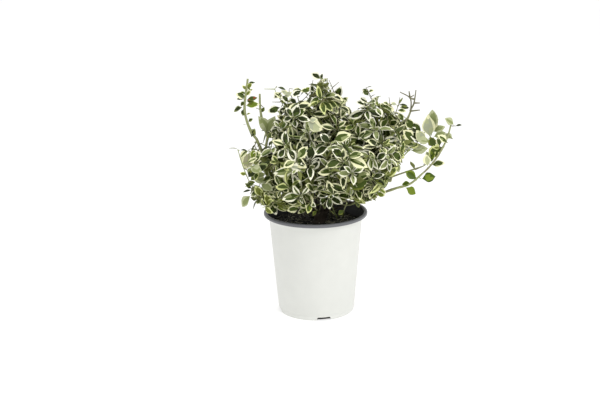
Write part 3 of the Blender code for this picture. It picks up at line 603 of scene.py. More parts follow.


# what stands out in the photograph, read from it and written in its pixels: basal stems that rise
# from the mix and twigs, each by its points, and then leaves under the name of their colours, each by its
# foot and its tip. depth is how far back the branches that carry them stand, and thick is a twig's radius
shown = [
    dict(mass="top_left", depth=-0.002,
         twigs=[[(284, 107), (281, 101), (275, 90), (277, 86)], [(275, 89), (264, 89)],
                [(280, 102), (272, 102)], [(296, 106), (289, 90), (293, 89)], [(303, 100), (312, 90)],
                [(284, 118), (276, 110), (270, 110)]],
         white=[((282, 92), (274, 97)), ((289, 102), (283, 97)), ((297, 104), (291, 99)),
                ((302, 90), (293, 95)), ((281, 107), (269, 111)), ((287, 106), (279, 114)),
                ((299, 106), (309, 105)), ((313, 104), (304, 107)), ((279, 125), (271, 134))],
         pale=[((289, 95), (283, 91)), ((284, 97), (290, 93))],
         cream=[((303, 91), (294, 90)), ((284, 99), (276, 93)), ((311, 90), (302, 91)),
                ((286, 103), (292, 100)), ((288, 108), (284, 103))],
         dark=[((300, 96), (304, 91)), ((277, 87), (285, 89)), ((311, 101), (318, 106)),
               ((294, 103), (300, 109))],
         lime=[((303, 90), (311, 89)), ((286, 103), (281, 101))],
         green=[((278, 134), (268, 136))]),
    dict(mass="front_left", depth=-0.05,
         twigs=[[(288, 136), (291, 127), (294, 118)], [(302, 136), (306, 128), (307, 122)]],
         white=[((294, 118), (297, 107)), ((295, 118), (308, 118)), ((294, 119), (296, 127)),
                ((293, 118), (284, 119)), ((293, 117), (288, 109))],
         cream=[((295, 117), (304, 110))],
         pale=[((306, 122), (320, 128)), ((308, 121), (316, 119))]),
    dict(mass="top_middle", depth=0.002,
         twigs=[[(335, 99), (334, 93), (332, 87), (329, 80)], [(333, 87), (339, 82)],
                [(318, 95), (321, 79)], [(342, 101), (348, 101)], [(312, 88), (313, 80)]],
         white=[((321, 79), (313, 74)), ((321, 79), (322, 74)), ((337, 100), (340, 88)),
                ((312, 96), (312, 86))],
         green=[((317, 76), (323, 78))],
         cream=[((319, 86), (323, 80)), ((331, 89), (323, 86)), ((318, 99), (320, 90)),
                ((341, 104), (346, 98)), ((336, 104), (343, 100))],
         dark=[((330, 86), (322, 82)), ((317, 86), (310, 83)), ((330, 97), (335, 90)),
               ((343, 104), (347, 110))],
         lime=[((324, 96), (316, 92))]),
    dict(mass="top_right", depth=0.004,
         twigs=[[(373, 102), (370, 95), (366, 87)], [(376, 97), (381, 96)], [(369, 92), (362, 93)],
                [(394, 117), (398, 106), (400, 97)], [(391, 112), (389, 97)], [(373, 112), (376, 98)]],
         cream=[((368, 92), (373, 90)), ((369, 96), (364, 90)), ((372, 104), (376, 98)),
                ((379, 106), (392, 109)), ((397, 110), (405, 111)), ((389, 105), (384, 102)),
                ((384, 112), (382, 104)), ((404, 121), (399, 114)), ((372, 112), (382, 116))],
         dark=[((366, 88), (371, 86)), ((368, 90), (363, 89)), ((370, 98), (374, 94)),
               ((399, 105), (402, 98)), ((368, 107), (358, 108)), ((398, 105), (406, 104)),
               ((389, 105), (394, 104))],
         white=[((368, 104), (361, 98)), ((369, 107), (358, 101)), ((366, 108), (378, 112)),
                ((393, 116), (386, 123))],
         lime=[((379, 106), (375, 101)), ((380, 110), (371, 116))],
         pale=[((397, 105), (392, 103))]),
    dict(mass="right_bare", depth=0.009, thick=0.0015, barks=("greyTwig",),
         twigs=[[(405, 122), (410, 113), (411, 108), (410, 98), (400, 92)], [(410, 98), (409, 91)],
                [(411, 109), (414, 103), (416, 90)], [(410, 98), (414, 95)], [(415, 103), (420, 103)],
                [(411, 111), (420, 110)]],
         green=[((410, 108), (402, 106))]),
    dict(mass="left_tall", depth=-0.021,
         twigs=[[(255, 147), (262, 153), (272, 157), (281, 157)]],
         dark=[((247, 84), (254, 82)), ((247, 125), (243, 124)), ((256, 148), (261, 142)),
               ((260, 151), (270, 145)), ((263, 154), (275, 148))],
         lime=[((247, 88), (251, 84)), ((247, 90), (243, 86)), ((247, 92), (252, 89)),
               ((246, 94), (241, 92)), ((246, 96), (250, 91)), ((246, 95), (243, 97)),
               ((245, 106), (257, 103)), ((246, 115), (250, 113))],
         cream=[((247, 87), (250, 90)), ((246, 98), (238, 94))],
         white=[((245, 99), (237, 98))],
         red=[((246, 100), (256, 98))],
         green=[((246, 101), (253, 101)), ((243, 107), (234, 110)), ((244, 108), (243, 115)),
                ((245, 101), (241, 105)), ((248, 122), (252, 119)), ((251, 137), (254, 130)),
                ((264, 155), (272, 157))]),
    dict(mass="left_stub", depth=0.006,
         twigs=[[(260, 104), (264, 108)], [(260, 110), (256, 108)], [(262, 122), (268, 133), (272, 138)]],
         sage=[((268, 133), (262, 119)), ((268, 133), (273, 119))],
         dark=[((270, 131), (262, 130))],
         green=[((261, 113), (264, 108))],
         white=[((283, 127), (269, 134))]),
    dict(mass="left_shoot", depth=-0.053,
         twigs=[[(244, 168), (250, 172), (260, 178)], [(252, 189), (258, 193), (264, 198)],
                [(248, 162), (249, 152)], [(254, 185), (264, 188)]],
         dark=[((238, 149), (230, 147)), ((240, 150), (247, 150)), ((249, 149), (256, 149)),
               ((264, 177), (274, 176)), ((252, 190), (244, 191)), ((259, 198), (252, 207)),
               ((262, 165), (271, 160))],
         tan=[((251, 151), (245, 167))],
         cream=[((249, 150), (240, 156)), ((251, 163), (259, 153)), ((255, 196), (262, 203)),
                ((247, 163), (255, 158))],
         lime=[((252, 160), (254, 151)), ((247, 175), (241, 173)), ((250, 181), (258, 174))],
         sage=[((249, 166), (260, 171)), ((251, 173), (264, 182)), ((260, 184), (271, 189)),
               ((251, 195), (241, 205)), ((254, 177), (264, 174)), ((250, 194), (257, 187))],
         green=[((256, 187), (264, 193)), ((252, 189), (246, 184)), ((256, 170), (266, 165)),
                ((262, 181), (270, 177)), ((248, 178), (253, 169)), ((245, 187), (253, 182))],
         light=[((258, 190), (252, 196)), ((262, 193), (268, 188))]),
    dict(mass="left_low", depth=-0.058,
         twigs=[[(262, 198), (272, 203), (285, 205), (299, 204)],
                [(284, 200), (281, 186), (278, 176), (270, 167)], [(285, 204), (296, 198)]],
         white=[((269, 202), (276, 213))],
         pale=[((290, 200), (300, 196)), ((285, 196), (276, 197))],
         cream=[((300, 208), (289, 210)), ((306, 200), (296, 203)), ((308, 208), (299, 212)),
                ((268, 202), (268, 211)), ((296, 199), (283, 197)), ((297, 203), (281, 202)),
                ((276, 198), (270, 193)), ((292, 197), (290, 189)), ((298, 197), (303, 190))],
         lime=[((262, 197), (257, 188)), ((294, 206), (277, 206)), ((300, 198), (307, 195))],
         dark=[((299, 204), (310, 205)), ((281, 186), (273, 185)), ((282, 192), (289, 190))],
         fresh=[((282, 185), (277, 176))],
         light=[((276, 198), (280, 192))]),
    dict(mass="front_low", depth=-0.08,
         basal=[[(329, 219), (330, 210), (328, 198)], [(325, 216), (316, 209), (311, 204)],
                [(343, 217), (344, 210), (347, 203)], [(337, 218), (333, 209), (331, 200)],
                [(318, 219), (320, 208), (325, 198)]],
         twigs=[[(318, 196), (310, 203)]],
         white=[((328, 196), (327, 183)), ((328, 195), (319, 195)), ((328, 197), (330, 208)),
                ((329, 197), (341, 202)), ((327, 197), (320, 203)), ((309, 202), (315, 206))],
         cream=[((329, 195), (338, 189))],
         lime=[((310, 202), (308, 212))],
         dark=[((330, 210), (334, 214))],
         green=[((344, 210), (339, 214)), ((317, 210), (313, 215))]),
    dict(mass="right_low", depth=-0.052,
         twigs=[[(334, 203), (344, 202), (354, 199), (368, 195), (380, 190)]],
         white=[((350, 199), (352, 189)), ((351, 199), (344, 195))],
         green=[((354, 199), (360, 206))],
         lime=[((368, 197), (376, 196)), ((376, 193), (384, 195)), ((374, 190), (383, 188)),
               ((378, 189), (386, 192))],
         cream=[((362, 198), (371, 199))]),
    dict(mass="right_fan", depth=0.033,
         twigs=[[(402, 158), (410, 150), (424, 142), (431, 136), (433, 124)], [(406, 148), (412, 134)],
                [(424, 142), (434, 138)]],
         pale=[((430, 138), (428, 120)), ((425, 143), (418, 132)), ((410, 150), (398, 138)),
               ((431, 131), (436, 121))],
         sage=[((433, 129), (432, 114)), ((433, 132), (443, 127)), ((410, 151), (426, 148)),
               ((431, 142), (419, 139)), ((433, 137), (444, 133))],
         white=[((421, 143), (411, 128)), ((422, 134), (411, 124))],
         cream=[((415, 143), (405, 132)), ((405, 147), (402, 136)), ((413, 130), (407, 120)),
                ((416, 145), (405, 141))],
         dark=[((433, 138), (431, 142))],
         lime=[((408, 148), (418, 144))],
         green=[((425, 141), (413, 135))]),
    dict(mass="right_arch", depth=-0.05,
         twigs=[[(416, 181), (416, 177)]],
         fresh=[((417, 180), (407, 172)), ((411, 183), (403, 184)), ((421, 179), (433, 176))],
         lush=[((405, 187), (415, 193))],
         pale=[((428, 167), (426, 156))]),
    dict(mass="right_tip", depth=-0.041, barks=("greyTwig",),
         twigs=[[(440, 149), (440, 141), (445, 132)], [(452, 126), (456, 126)]],
         round=[((454, 125), (447, 119)), ((453, 139), (446, 134))],
         dark=[((455, 126), (461, 125))],
         cream=[((448, 143), (440, 136)), ((440, 146), (438, 139))],
         fresh=[((444, 147), (438, 151))],
         lime=[((441, 148), (434, 147))]),
    dict(mass="right_spray", depth=-0.012,
         twigs=[[(424, 164), (430, 157), (434, 148), (436, 142)]],
         dark=[((415, 170), (411, 162))],
         cream=[((431, 165), (443, 163))],
         sage=[((430, 161), (427, 153))],
         lime=[((430, 160), (437, 147)), ((428, 163), (434, 153))],
         blush=[((437, 146), (438, 139))],
         green=[((434, 148), (431, 139)), ((434, 150), (442, 148))]),
    dict(mass="right", depth=-0.02,
         twigs=[[(384, 186), (388, 182)]],
         sage=[((394, 161), (399, 171))],
         fresh=[((395, 160), (386, 166))],
         white=[((387, 151), (388, 141))],
         pale=[((386, 183), (391, 176))],
         cream=[((388, 182), (385, 177))],
         green=[((392, 155), (400, 157))]),
    dict(mass="front_left", depth=-0.088,
         twigs=[[(290, 156), (286, 147)], [(300, 170), (297, 161)], [(310, 180), (307, 171)],
                [(313, 150), (312, 143)]],
         white=[((286, 146), (284, 134)), ((287, 147), (295, 160)), ((285, 148), (279, 157)),
                ((312, 144), (310, 159)), ((315, 172), (325, 178)), ((311, 171), (318, 162))],
         cream=[((285, 146), (274, 140)), ((296, 161), (285, 165)), ((307, 170), (314, 166)),
                ((297, 160), (306, 148))],
         pale=[((306, 170), (292, 166))],
         green=[((305, 171), (301, 180)), ((300, 163), (304, 171))]),
    dict(mass="front_middle", depth=-0.098,
         twigs=[[(334, 152), (331, 143)], [(346, 168), (345, 159)], [(338, 184), (335, 174)]],
         white=[((329, 146), (316, 152)), ((344, 161), (345, 177)), ((330, 143), (322, 135)),
                ((343, 158), (334, 150))],
         cream=[((347, 158), (365, 165)), ((342, 161), (327, 166)), ((334, 172), (320, 171)),
                ((333, 141), (347, 134)), ((346, 157), (361, 154))],
         light=[((335, 175), (349, 180))],
         dark=[((339, 141), (351, 153)), ((334, 175), (331, 185)), ((328, 143), (316, 147))]),
    dict(mass="front_right", depth=-0.082,
         twigs=[[(366, 188), (371, 179)], [(372, 170), (376, 161)]],
         white=[((385, 162), (395, 161)), ((372, 178), (382, 174)), ((376, 160), (385, 154))],
         cream=[((370, 178), (366, 170)), ((354, 178), (367, 174)), ((375, 161), (370, 152))],
         green=[((369, 180), (352, 186)), ((373, 180), (386, 184)), ((377, 162), (382, 170))]),
]


# the dense part of the crown in the photograph's pixels: what the rule grows stays inside it in that view,
# so that the sky shows where it does there
crownOutline = np.array([(258, 204), (249, 198), (252, 188), (264, 183), (268, 176), (261, 171), (246, 169),
                         (241, 153), (262, 150), (276, 149), (274, 140), (267, 132), (269, 124), (276, 118),
                         (283, 108), (298, 103), (309, 100), (312, 83), (320, 79), (328, 84), (335, 95),
                         (343, 97), (347, 105), (351, 111), (359, 110), (364, 100), (374, 98), (382, 104),
                         (396, 109), (403, 117), (410, 123), (421, 128), (425, 136), (420, 143), (404, 145),
                         (405, 156), (399, 168), (390, 174), (386, 187), (379, 197), (362, 203), (352, 199),
                         (340, 202), (312, 207), (278, 208), (270, 214)])


def inOutline(point):
    across, down = photoPixel(point)
    ends = np.roll(crownOutline, -1, axis=0)
    passed = (crownOutline[:, 1] > down) != (ends[:, 1] > down)
    starts, ends = crownOutline[passed], ends[passed]
    meets = starts[:, 0] + (ends[:, 0] - starts[:, 0]) * (down - starts[:, 1]) / (ends[:, 1] - starts[:, 1])
    return (meets > across).sum() % 2 == 1


def bezierPoints(start, middle, end, count):
    shares = np.linspace(0.0, 1.0, count)[:, None]
    return (1 - shares) ** 2 * start + 2 * shares * (1 - shares) * middle + shares ** 2 * end


def threadPoints(knots, count):
    # a smooth curve through all the knots, evenly spaced
    padded = [2 * knots[0] - knots[1], *knots, 2 * knots[-1] - knots[-2]]
    fine = []
    for before, start, end, after in zip(padded, padded[1:], padded[2:], padded[3:]):
        for share in np.linspace(0.0, 1.0, shrub["threadSteps"], endpoint=False):
            fine.append(0.5 * (2 * start + (end - before) * share
                               + (2 * before - 5 * start + 4 * end - after) * share ** 2
                               + (3 * start - before - 3 * end + after) * share ** 3))
    fine = np.array(fine + [knots[-1]])
    return np.array([pathPoint(fine, share) for share in np.linspace(0.0, 1.0, count)])


def curvePoints(start, heading, end, count, bend):
    middle = start + unit(heading) * np.linalg.norm(end - start) * bend
    return bezierPoints(start, middle, end, count)


def pathPoint(path, share):
    lengths = np.concatenate([[0.0], np.cumsum(np.linalg.norm(np.diff(path, axis=0), axis=1))])
    return np.array([np.interp(share * lengths[-1], lengths, path[:, axis]) for axis in range(3)])


def nearestTo(point, places):
    return places[((places - point) ** 2).sum(axis=1).argmin()]


def jitter(chance, size):
    return np.array([chance.uniform(-size, size) for _ in range(3)])


def pathLength(path):
    return float(np.linalg.norm(np.diff(path, axis=0), axis=1).sum())


def knuckleCentre():
    return np.array((shrub["stemCentre"][0] + shrub["stemLean"], shrub["stemCentre"][1],
                     mix["level"] + shrub["gap"] + shrub["knuckleHeight"]))


for mass in masses.values():
    mass["centre"], mass["radii"] = np.array(mass["centre"]), np.array(mass["radii"])
    mass["weight"] = shrub["spacePull"] * float(np.mean(mass["radii"])) ** 2
    for kind in ("tips", "via"):
        mass[kind] = [np.array(point) for point in mass.get(kind, ())]


def inSpace(points, name, margin=0.0004):
    # inside the mass's ellipsoid and on its own side of the planes that part it from the others
    mass = masses[name]
    points = np.atleast_2d(points)
    if (((points - mass["centre"]) / mass["radii"]) ** 2).sum(axis=1).max() > 1.0:
        return False
    own = ((points - mass["centre"]) ** 2).sum(axis=1) - mass["weight"]
    for other, rival in masses.items():
        if other == name:
            continue
        apart = np.linalg.norm(mass["centre"] - rival["centre"])
        lead = ((points - rival["centre"]) ** 2).sum(axis=1) - rival["weight"] - own
        if lead.min() < 2 * apart * margin:
            return False
    return points[:, 2].min() > pot["height"] + margin


def boughStart(mass, limbs):
    if "parent" not in mass:
        bearing, climb = math.radians(mass["bearing"]), math.radians(mass["climb"])
        heading = np.array((math.cos(bearing) * math.cos(climb), math.sin(bearing) * math.cos(climb),
                            math.sin(climb)))
        sunk = knuckleCentre() + heading * shrub["knuckleRadius"] * shrub["boughSunk"]
        return sunk, heading, shrub["boughRadius"]
    parent = limbs[mass["parent"]]
    if mass.get("beyond"):
        return parent["stem"][-1], tangentsOf(parent["stem"])[-1], parent["radii"][-1]
    index = round(mass["fork"] * shrub["boughSpans"]) * shrub["finer"]
    start = parent["path"][index]
    heading = unit(unit(massFoot(mass) - start) + shrub["forkPull"] * tangentsOf(parent["path"])[index])
    return start, heading, shrub["forkShare"] * parent["radii"][index]


def massFoot(mass):
    if "foot" in mass:
        return np.array(mass["foot"])
    back = knuckleCentre() - mass["centre"]
    return mass["centre"] + back * shrub["reach"] / np.linalg.norm(back / mass["radii"])


def stemEnd(name, start):
    mass = masses[name]
    if "stem" in mass:
        return np.array(mass["stem"])
    ray = unit(mass["centre"] + up * shrub["stemRise"] * mass["radii"][2] - start)
    reach = 2 * shrub["twigShortest"]
    while inSpace(start + ray * (reach + shrub["twigMargin"]), name):
        reach += shrub["stemStep"]
    return start + ray * reach


def planLimbs():
    limbs, waiting = {}, list(masses)
    while waiting:
        name = waiting.pop(0)
        mass = masses[name]
        if mass.get("parent") and mass["parent"] not in limbs:
            waiting.append(name)
            continue
        start, heading, radius = boughStart(mass, limbs)
        count = shrub["boughSpans"] * shrub["finer"] + 1
        path = curvePoints(start, heading, massFoot(mass), count, shrub["boughBend"])
        radii = np.linspace(radius, shrub["boughTaper"] * radius, count)
        end, heading = stemEnd(name, path[-1]), tangentsOf(path)[-1]
        if mass["via"]:
            stem = threadPoints([path[-1], *mass["via"], end], shrub["stemPoints"])
        else:
            stem = curvePoints(path[-1], heading, end, shrub["stemPoints"], shrub["stemBend"])
        stemRadii = np.linspace(radii[-1], shrub["stemTip"], shrub["stemPoints"])
        limbs[name] = dict(path=path, radii=radii, stem=stem, stemRadii=stemRadii)
    for name, limb in limbs.items():
        stout = masses[name].get("stout", 1.0)
        limb["radii"] = limb["radii"] * np.linspace(1.0, stout, len(limb["radii"]))
        if name in shrub["stoutStems"]:
            limb["stemRadii"] = np.linspace(limb["radii"][-1], shrub["stoutShare"] * limb["radii"][-1],
                                            shrub["stemPoints"])
    return limbs


limbs = planLimbs()
print("limbs planned,", len(limbs))


def barkMaterial():
    # live wintercreeper bark: olive green and smooth when young, corky grey-brown with fine cracks low down
    material = plainMaterial("wintercreeperBark", shrub["barkColours"][-1], 0.8)
    tree = material.node_tree
    place = addNode(tree, "ShaderNodeTexCoord")
    age = addNode(tree, "ShaderNodeAttribute", attribute_name="age")
    patches = addNode(tree, "ShaderNodeTexNoise", {"Scale": 1 / shrub["patchSize"], "Detail": 3.0},
                      {"Vector": place.outputs["Object"]})
    cracks = addNode(tree, "ShaderNodeTexNoise",
                     {"Scale": 1 / shrub["crackSize"], "Detail": 3.0, "Roughness": 0.65},
                     {"Vector": place.outputs["Object"]})
    spread = addNode(tree, "ShaderNodeMath", {1: shrub["patchShare"]}, {0: patches.outputs["Fac"]},
                     operation="MULTIPLY")
    mixed = addNode(tree, "ShaderNodeMath", (), {0: age.outputs["Fac"], 1: spread.outputs["Value"]},
                    operation="ADD")
    ramp = addNode(tree, "ShaderNodeValToRGB", (), {"Fac": mixed.outputs["Value"]})
    ramp.color_ramp.elements.new(shrub["barkStops"][1])
    for stop, position, code in zip(ramp.color_ramp.elements, shrub["barkStops"], shrub["barkColours"]):
        stop.position = position
        stop.color = linearColour(code)
    (shallow, deep), (dark, light) = shrub["crackSpan"], shrub["crackShades"]
    speck = addNode(tree, "ShaderNodeMapRange",
                    {"From Min": shallow, "From Max": deep, "To Min": dark, "To Max": light},
                    {"Value": cracks.outputs["Fac"]})
    shade = addNode(tree, "ShaderNodeVectorMath", (),
                    {0: ramp.outputs["Color"], "Scale": speck.outputs["Result"]}, operation="SCALE")
    least, most = shrub["crackShines"]
    dull = addNode(tree, "ShaderNodeMapRange", {"To Min": least, "To Max": most},
                   {"Value": cracks.outputs["Fac"]})
    return wirePattern(material, shade.outputs["Vector"], dull.outputs["Result"], cracks.outputs["Fac"],
                       *shrub["relief"])


def sweepLimb(bm, age, path, radii, ages, sides, chance):
    # a capped ring is extruded from point to point, swelling a little at each leaf scar
    headings = tangentsOf(path)
    across = anyAcross(headings[0])
    cap = bmesh.ops.create_circle(bm, cap_ends=True, segments=sides, radius=1.0)["verts"]
    face = cap[0].link_faces[0]
    before = Matrix.Identity(4)
    for index, (point, heading, radius) in enumerate(zip(path, headings, radii)):
        across = squared(across, heading)
        aside = np.cross(heading, across)
        scar = shrub["scar"] if index % shrub["scarEvery"] == shrub["scarFirst"] else 0.0
        swell = radius * (chance.uniform(*shrub["uneven"]) + scar)
        place = Matrix(np.stack([across * swell, aside * swell, heading], axis=1).tolist()).to_4x4()
        place.translation = point
        if index:
            grown = bmesh.ops.extrude_face_region(bm, geom=[face])["geom"]
            if index > 1:
                bmesh.ops.delete(bm, geom=[face], context="FACES_ONLY")
            face = [item for item in grown if isinstance(item, bmesh.types.BMFace)][0]
        bmesh.ops.transform(bm, matrix=place @ before.inverted(), verts=face.verts[:])
        before = place
        for vert in face.verts:
            vert[age] = ages[index]


def makeBark():
    # the short woody foot, its boughs and the stems inside each mass
    chance = random.Random(shrub["seed"])
    base = mix["level"] - shrub["stemSunk"]
    top = knuckleCentre()
    flare, knuckle = shrub["flareRadius"], shrub["knuckleRadius"]
    profile = [(0.0, base), (flare, base), (flare * shrub["flareShare"], base + shrub["flareHeight"]),
               (shrub["waistRadius"], base + shrub["waistHeight"])]
    for turn in np.linspace(shrub["knuckleFrom"], 90.0, shrub["knuckleSteps"] + 1)[1:]:
        angle = math.radians(turn)
        profile.append((knuckle * math.cos(angle), top[2] + knuckle * math.sin(angle)))
    mesh = spunMesh("mainStem", profile, shrub["footSteps"])
    for vert in mesh.vertices:
        spot = vert.co.copy()
        bump = 1
        for pitch, size in shrub["lumps"]:
            bump += size * noise.noise(spot * pitch)
        lean = shrub["stemLean"] * min(1.0, max(0.0, (spot.z - base) / shrub["knuckleHeight"]))
        x, y = shrub["stemCentre"]
        vert.co = (x + spot.x * bump + lean, y + spot.y * bump, spot.z)
    attribute = mesh.attributes.new("age", "FLOAT", "POINT")
    attribute.data.foreach_set("value", [shrub["footAge"]] * len(mesh.vertices))
    bark = barkMaterial()
    addPiece("mainStem", mesh, [bark], ["main_stem"], shrub["smooth"])

    bm = bmesh.new()
    age = bm.verts.layers.float.new("age")
    for name, limb in limbs.items():
        oldest = shrub["forkAge" if "parent" in masses[name] else "footAge"]
        ages = np.linspace(oldest, shrub["tipAge"], len(limb["path"]))
        sweepLimb(bm, age, limb["path"], limb["radii"], ages, shrub["boughSides"], chance)
        ages = np.linspace(shrub["tipAge"], 0.0, len(limb["stem"]))
        sweepLimb(bm, age, limb["stem"], limb["stemRadii"], ages, shrub["stemSides"], chance)
    bmesh.ops.recalc_face_normals(bm, faces=bm.faces)
    addPiece("boughs", meshFrom(bm, "boughs"), [bark], [name + "_bough" for name in masses],
             shrub["smooth"])


makeBark()
print("bark made")


# twigs and leaves, in metres. Twigs aim at points tried over the mass, rise towards the light and bow.
# outline is a leaf's stations and half widths, and margins is where its pale edge starts. Leaves stand in
# pairs at the buds near a twig's tip and by spacing below them, down to leafy. Each is tried at the sizes
# and turns in tries, and keeps its clearance from all others, the slack round its mass, and front and
# skirt as the nearest and lowest that a tip may come. What starts with shown is for what the photo shows
foliage = {
    "seed": 31, "forms": 16, "cell": 0.0045, "crownCentre": (0.03, 0.02, 0.22), "smooth": 55,
    "tipTries": 1.7, "tipLeast": 0.3, "outerTips": (0.84, 1.0), "innerTips": (0.4, 0.72),
    "tipStep": 0.05, "tipMargin": 0.007, "tipNearest": 1.3, "tipShuffle": 0.5, "twigLeast": 0.4,
    "turnCost": 0.6, "rise": 0.42, "bareRise": 0.2, "bow": 0.42, "twigForks": (2, 3, 4),
    "twigRadius": 0.0008, "twigTip": 0.00042, "twigSides": 6, "twigPoints": 7,
    "twigBark": ("stalkGreen", "stalkGreen", "buffTwig", "greyTwig"),
    "length": 0.0262, "width": 0.0130, "thickness": 0.00035, "stalk": 0.14, "ridge": 1.8,
    "slims": (0.88, 1.12), "veinSides": (0.94, 1.06), "veinLead": 0.12, "ragged": 0.03,
    "outline": ((-0.12, 0.0), (0.0, 0.04), (0.12, 0.27), (0.27, 0.45), (0.44, 0.5), (0.64, 0.40),
                (0.83, 0.18), (1.0, 0.0)),
    "margins": (0.55, 0.80), "marginStep": 0.13, "marginLimits": (0.36, 0.86),
    "patchStarts": (1, 7), "patchRows": (0, 4),
    "lengths": (0.8, 1.1), "widths": (0.9, 1.14), "fold": (0.1, 0.42), "curl": (0.05, 0.32), "twist": 0.25,
    "buds": (0.0, 0.0020, 0.0050), "budSizes": (0.48, 0.80, 1.0), "budLeans": (62.0, 36.0, 22.0),
    "budDroop": 0.3, "spacing": 0.0105, "leafy": 0.036, "lean": 14.0, "leanSpread": 14.0,
    "droop": (-0.35, 0.08), "forward": 0.9, "upward": 0.5, "turned": 0.8, "upright": 0.45, "crossed": 0.35,
    "tries": ((1.08, 0.0), (1.0, 0.45), (0.95, -0.45), (0.86, 0.9), (0.8, -0.9), (0.7, 0.2)),
    "clearance": 0.0030, "slack": 1.04, "front": -0.1085, "skirt": 0.168, "limbSamples": (0.2, 1.0, 30),
    "samples": (0.4, 0.72), "sampleHalf": 0.4,
    "shownBark": ("stalkGreen", "greyTwig", "greyTwig"), "shownTaper": 0.5, "basalSwell": 1.4,
    "basalPoints": 9, "shownSlope": 0.3, "shownSlopes": (-0.5, 0.2), "shownSag": 0.0004,
    "shownNear": 0.001, "shownStalk": 0.8, "shownSamples": (0.3, 0.6, 0.9),
    "shownFacing": 0.8, "shownUpward": 0.55, "shownTurned": 0.3, "shownWidth": 1.4,
    "shownFacings": {"dark": 0.15, "pale": 1.4, "sage": 1.4, "tan": 1.8, "round": 1.8, "fresh": 1.4,
                     "lush": 1.4},
    "shownWidths": {"dark": 0.92, "green": 1.45, "fresh": 1.56, "lush": 1.56, "round": 1.65, "tan": 1.75,
                    "red": 0.97},
}
leafGroups = {
    "Top": ("top_left", "top_middle", "top_right"),
    "Front": ("front_left", "front_middle", "front_right", "front_low"),
    "Back": ("back_left", "back_middle", "back_right", "back_low", "back_shoot_left",
             "back_shoot_right"),
    "Left": ("left", "left_low", "left_tall", "left_stub", "left_shoot"),
    "Right": ("right", "right_low", "right_fan", "right_arch", "right_tip", "right_spray",
              "right_bare"),
}

# the colours of leaves and twigs with their roughness, and then what each spray is dealt: two for the
# middle of a leaf and one for its margin
leafColours = {
    "deepGreen": ("29330f", 0.45), "middleGreen": ("45541f", 0.45), "greyGreen": ("89925f", 0.50),
    "sageGreen": ("b1b68e", 0.50), "silverGreen": ("a9ae93", 0.50), "oliveGreen": ("6c7330", 0.46),
    "lushGreen": ("415410", 0.40), "freshGreen": ("6a7b22", 0.42), "creamMargin": ("e7e6bb", 0.50),
    "ivoryMargin": ("efeed6", 0.52), "limeMargin": ("d3d893", 0.48), "paleUnderside": ("7b8249", 0.60),
    "stalkGreen": ("98a368", 0.50), "redTint": ("a0463c", 0.45), "blushPink": ("d3a27c", 0.50),
    "dryTan": ("a5a283", 0.60), "buffTwig": ("a49c72", 0.60), "greyTwig": ("77755c", 0.70),
}
leafSlots = list(leafColours)
sprayTones = {
    "mixed": (("deepGreen", "middleGreen", "creamMargin"), ("deepGreen", "greyGreen", "creamMargin"),
              ("middleGreen", "greyGreen", "ivoryMargin"), ("deepGreen", "middleGreen", "ivoryMargin"),
              ("middleGreen", "deepGreen", "creamMargin"), ("middleGreen", "oliveGreen", "limeMargin"),
              ("greyGreen", "middleGreen", "ivoryMargin")),
    "fresh": (("lushGreen", "freshGreen", "lushGreen"), ("lushGreen", "lushGreen", "freshGreen")),
    "pale": (("sageGreen", "silverGreen", "creamMargin"), ("silverGreen", "sageGreen", "creamMargin"),
             ("silverGreen", "greyGreen", "ivoryMargin")),
    "shaded": (("deepGreen", "middleGreen", "greyGreen"), ("deepGreen", "deepGreen", "creamMargin")),
    "white": (("deepGreen", "middleGreen", "ivoryMargin"),),
    "cream": (("middleGreen", "greyGreen", "creamMargin"),),
    "light": (("greyGreen", "middleGreen", "creamMargin"), ("middleGreen", "greyGreen", "ivoryMargin"),
              ("oliveGreen", "greyGreen", "limeMargin")),
    "lime": (("middleGreen", "freshGreen", "limeMargin"), ("oliveGreen", "freshGreen", "limeMargin"),
             ("freshGreen", "oliveGreen", "creamMargin")),
    "green": (("middleGreen", "deepGreen", "oliveGreen"), ("deepGreen", "oliveGreen", "greyGreen")),
    "dark": (("deepGreen", "deepGreen", "middleGreen"),),
    "sage": (("greyGreen", "greyGreen", "sageGreen"), ("greyGreen", "sageGreen", "sageGreen")),
    "round": (("greyGreen", "greyGreen", "sageGreen"),),
    "tan": (("dryTan", "dryTan", "creamMargin"),),
    "lush": (("freshGreen", "freshGreen", "freshGreen"),),
    "red": (("middleGreen", "redTint", "oliveGreen"),),
    "blush": (("limeMargin", "blushPink", "creamMargin"),),
}


def leafMaterials():
    # living leaves: a thin wax over green or blanched tissue, so a soft shine and a plain colour
    return [plainMaterial("leaf" + name[0].upper() + name[1:], code, roughness, IOR=1.42,
                          Specular_IOR_Level=0.2)
            for name, (code, roughness) in leafColours.items()]


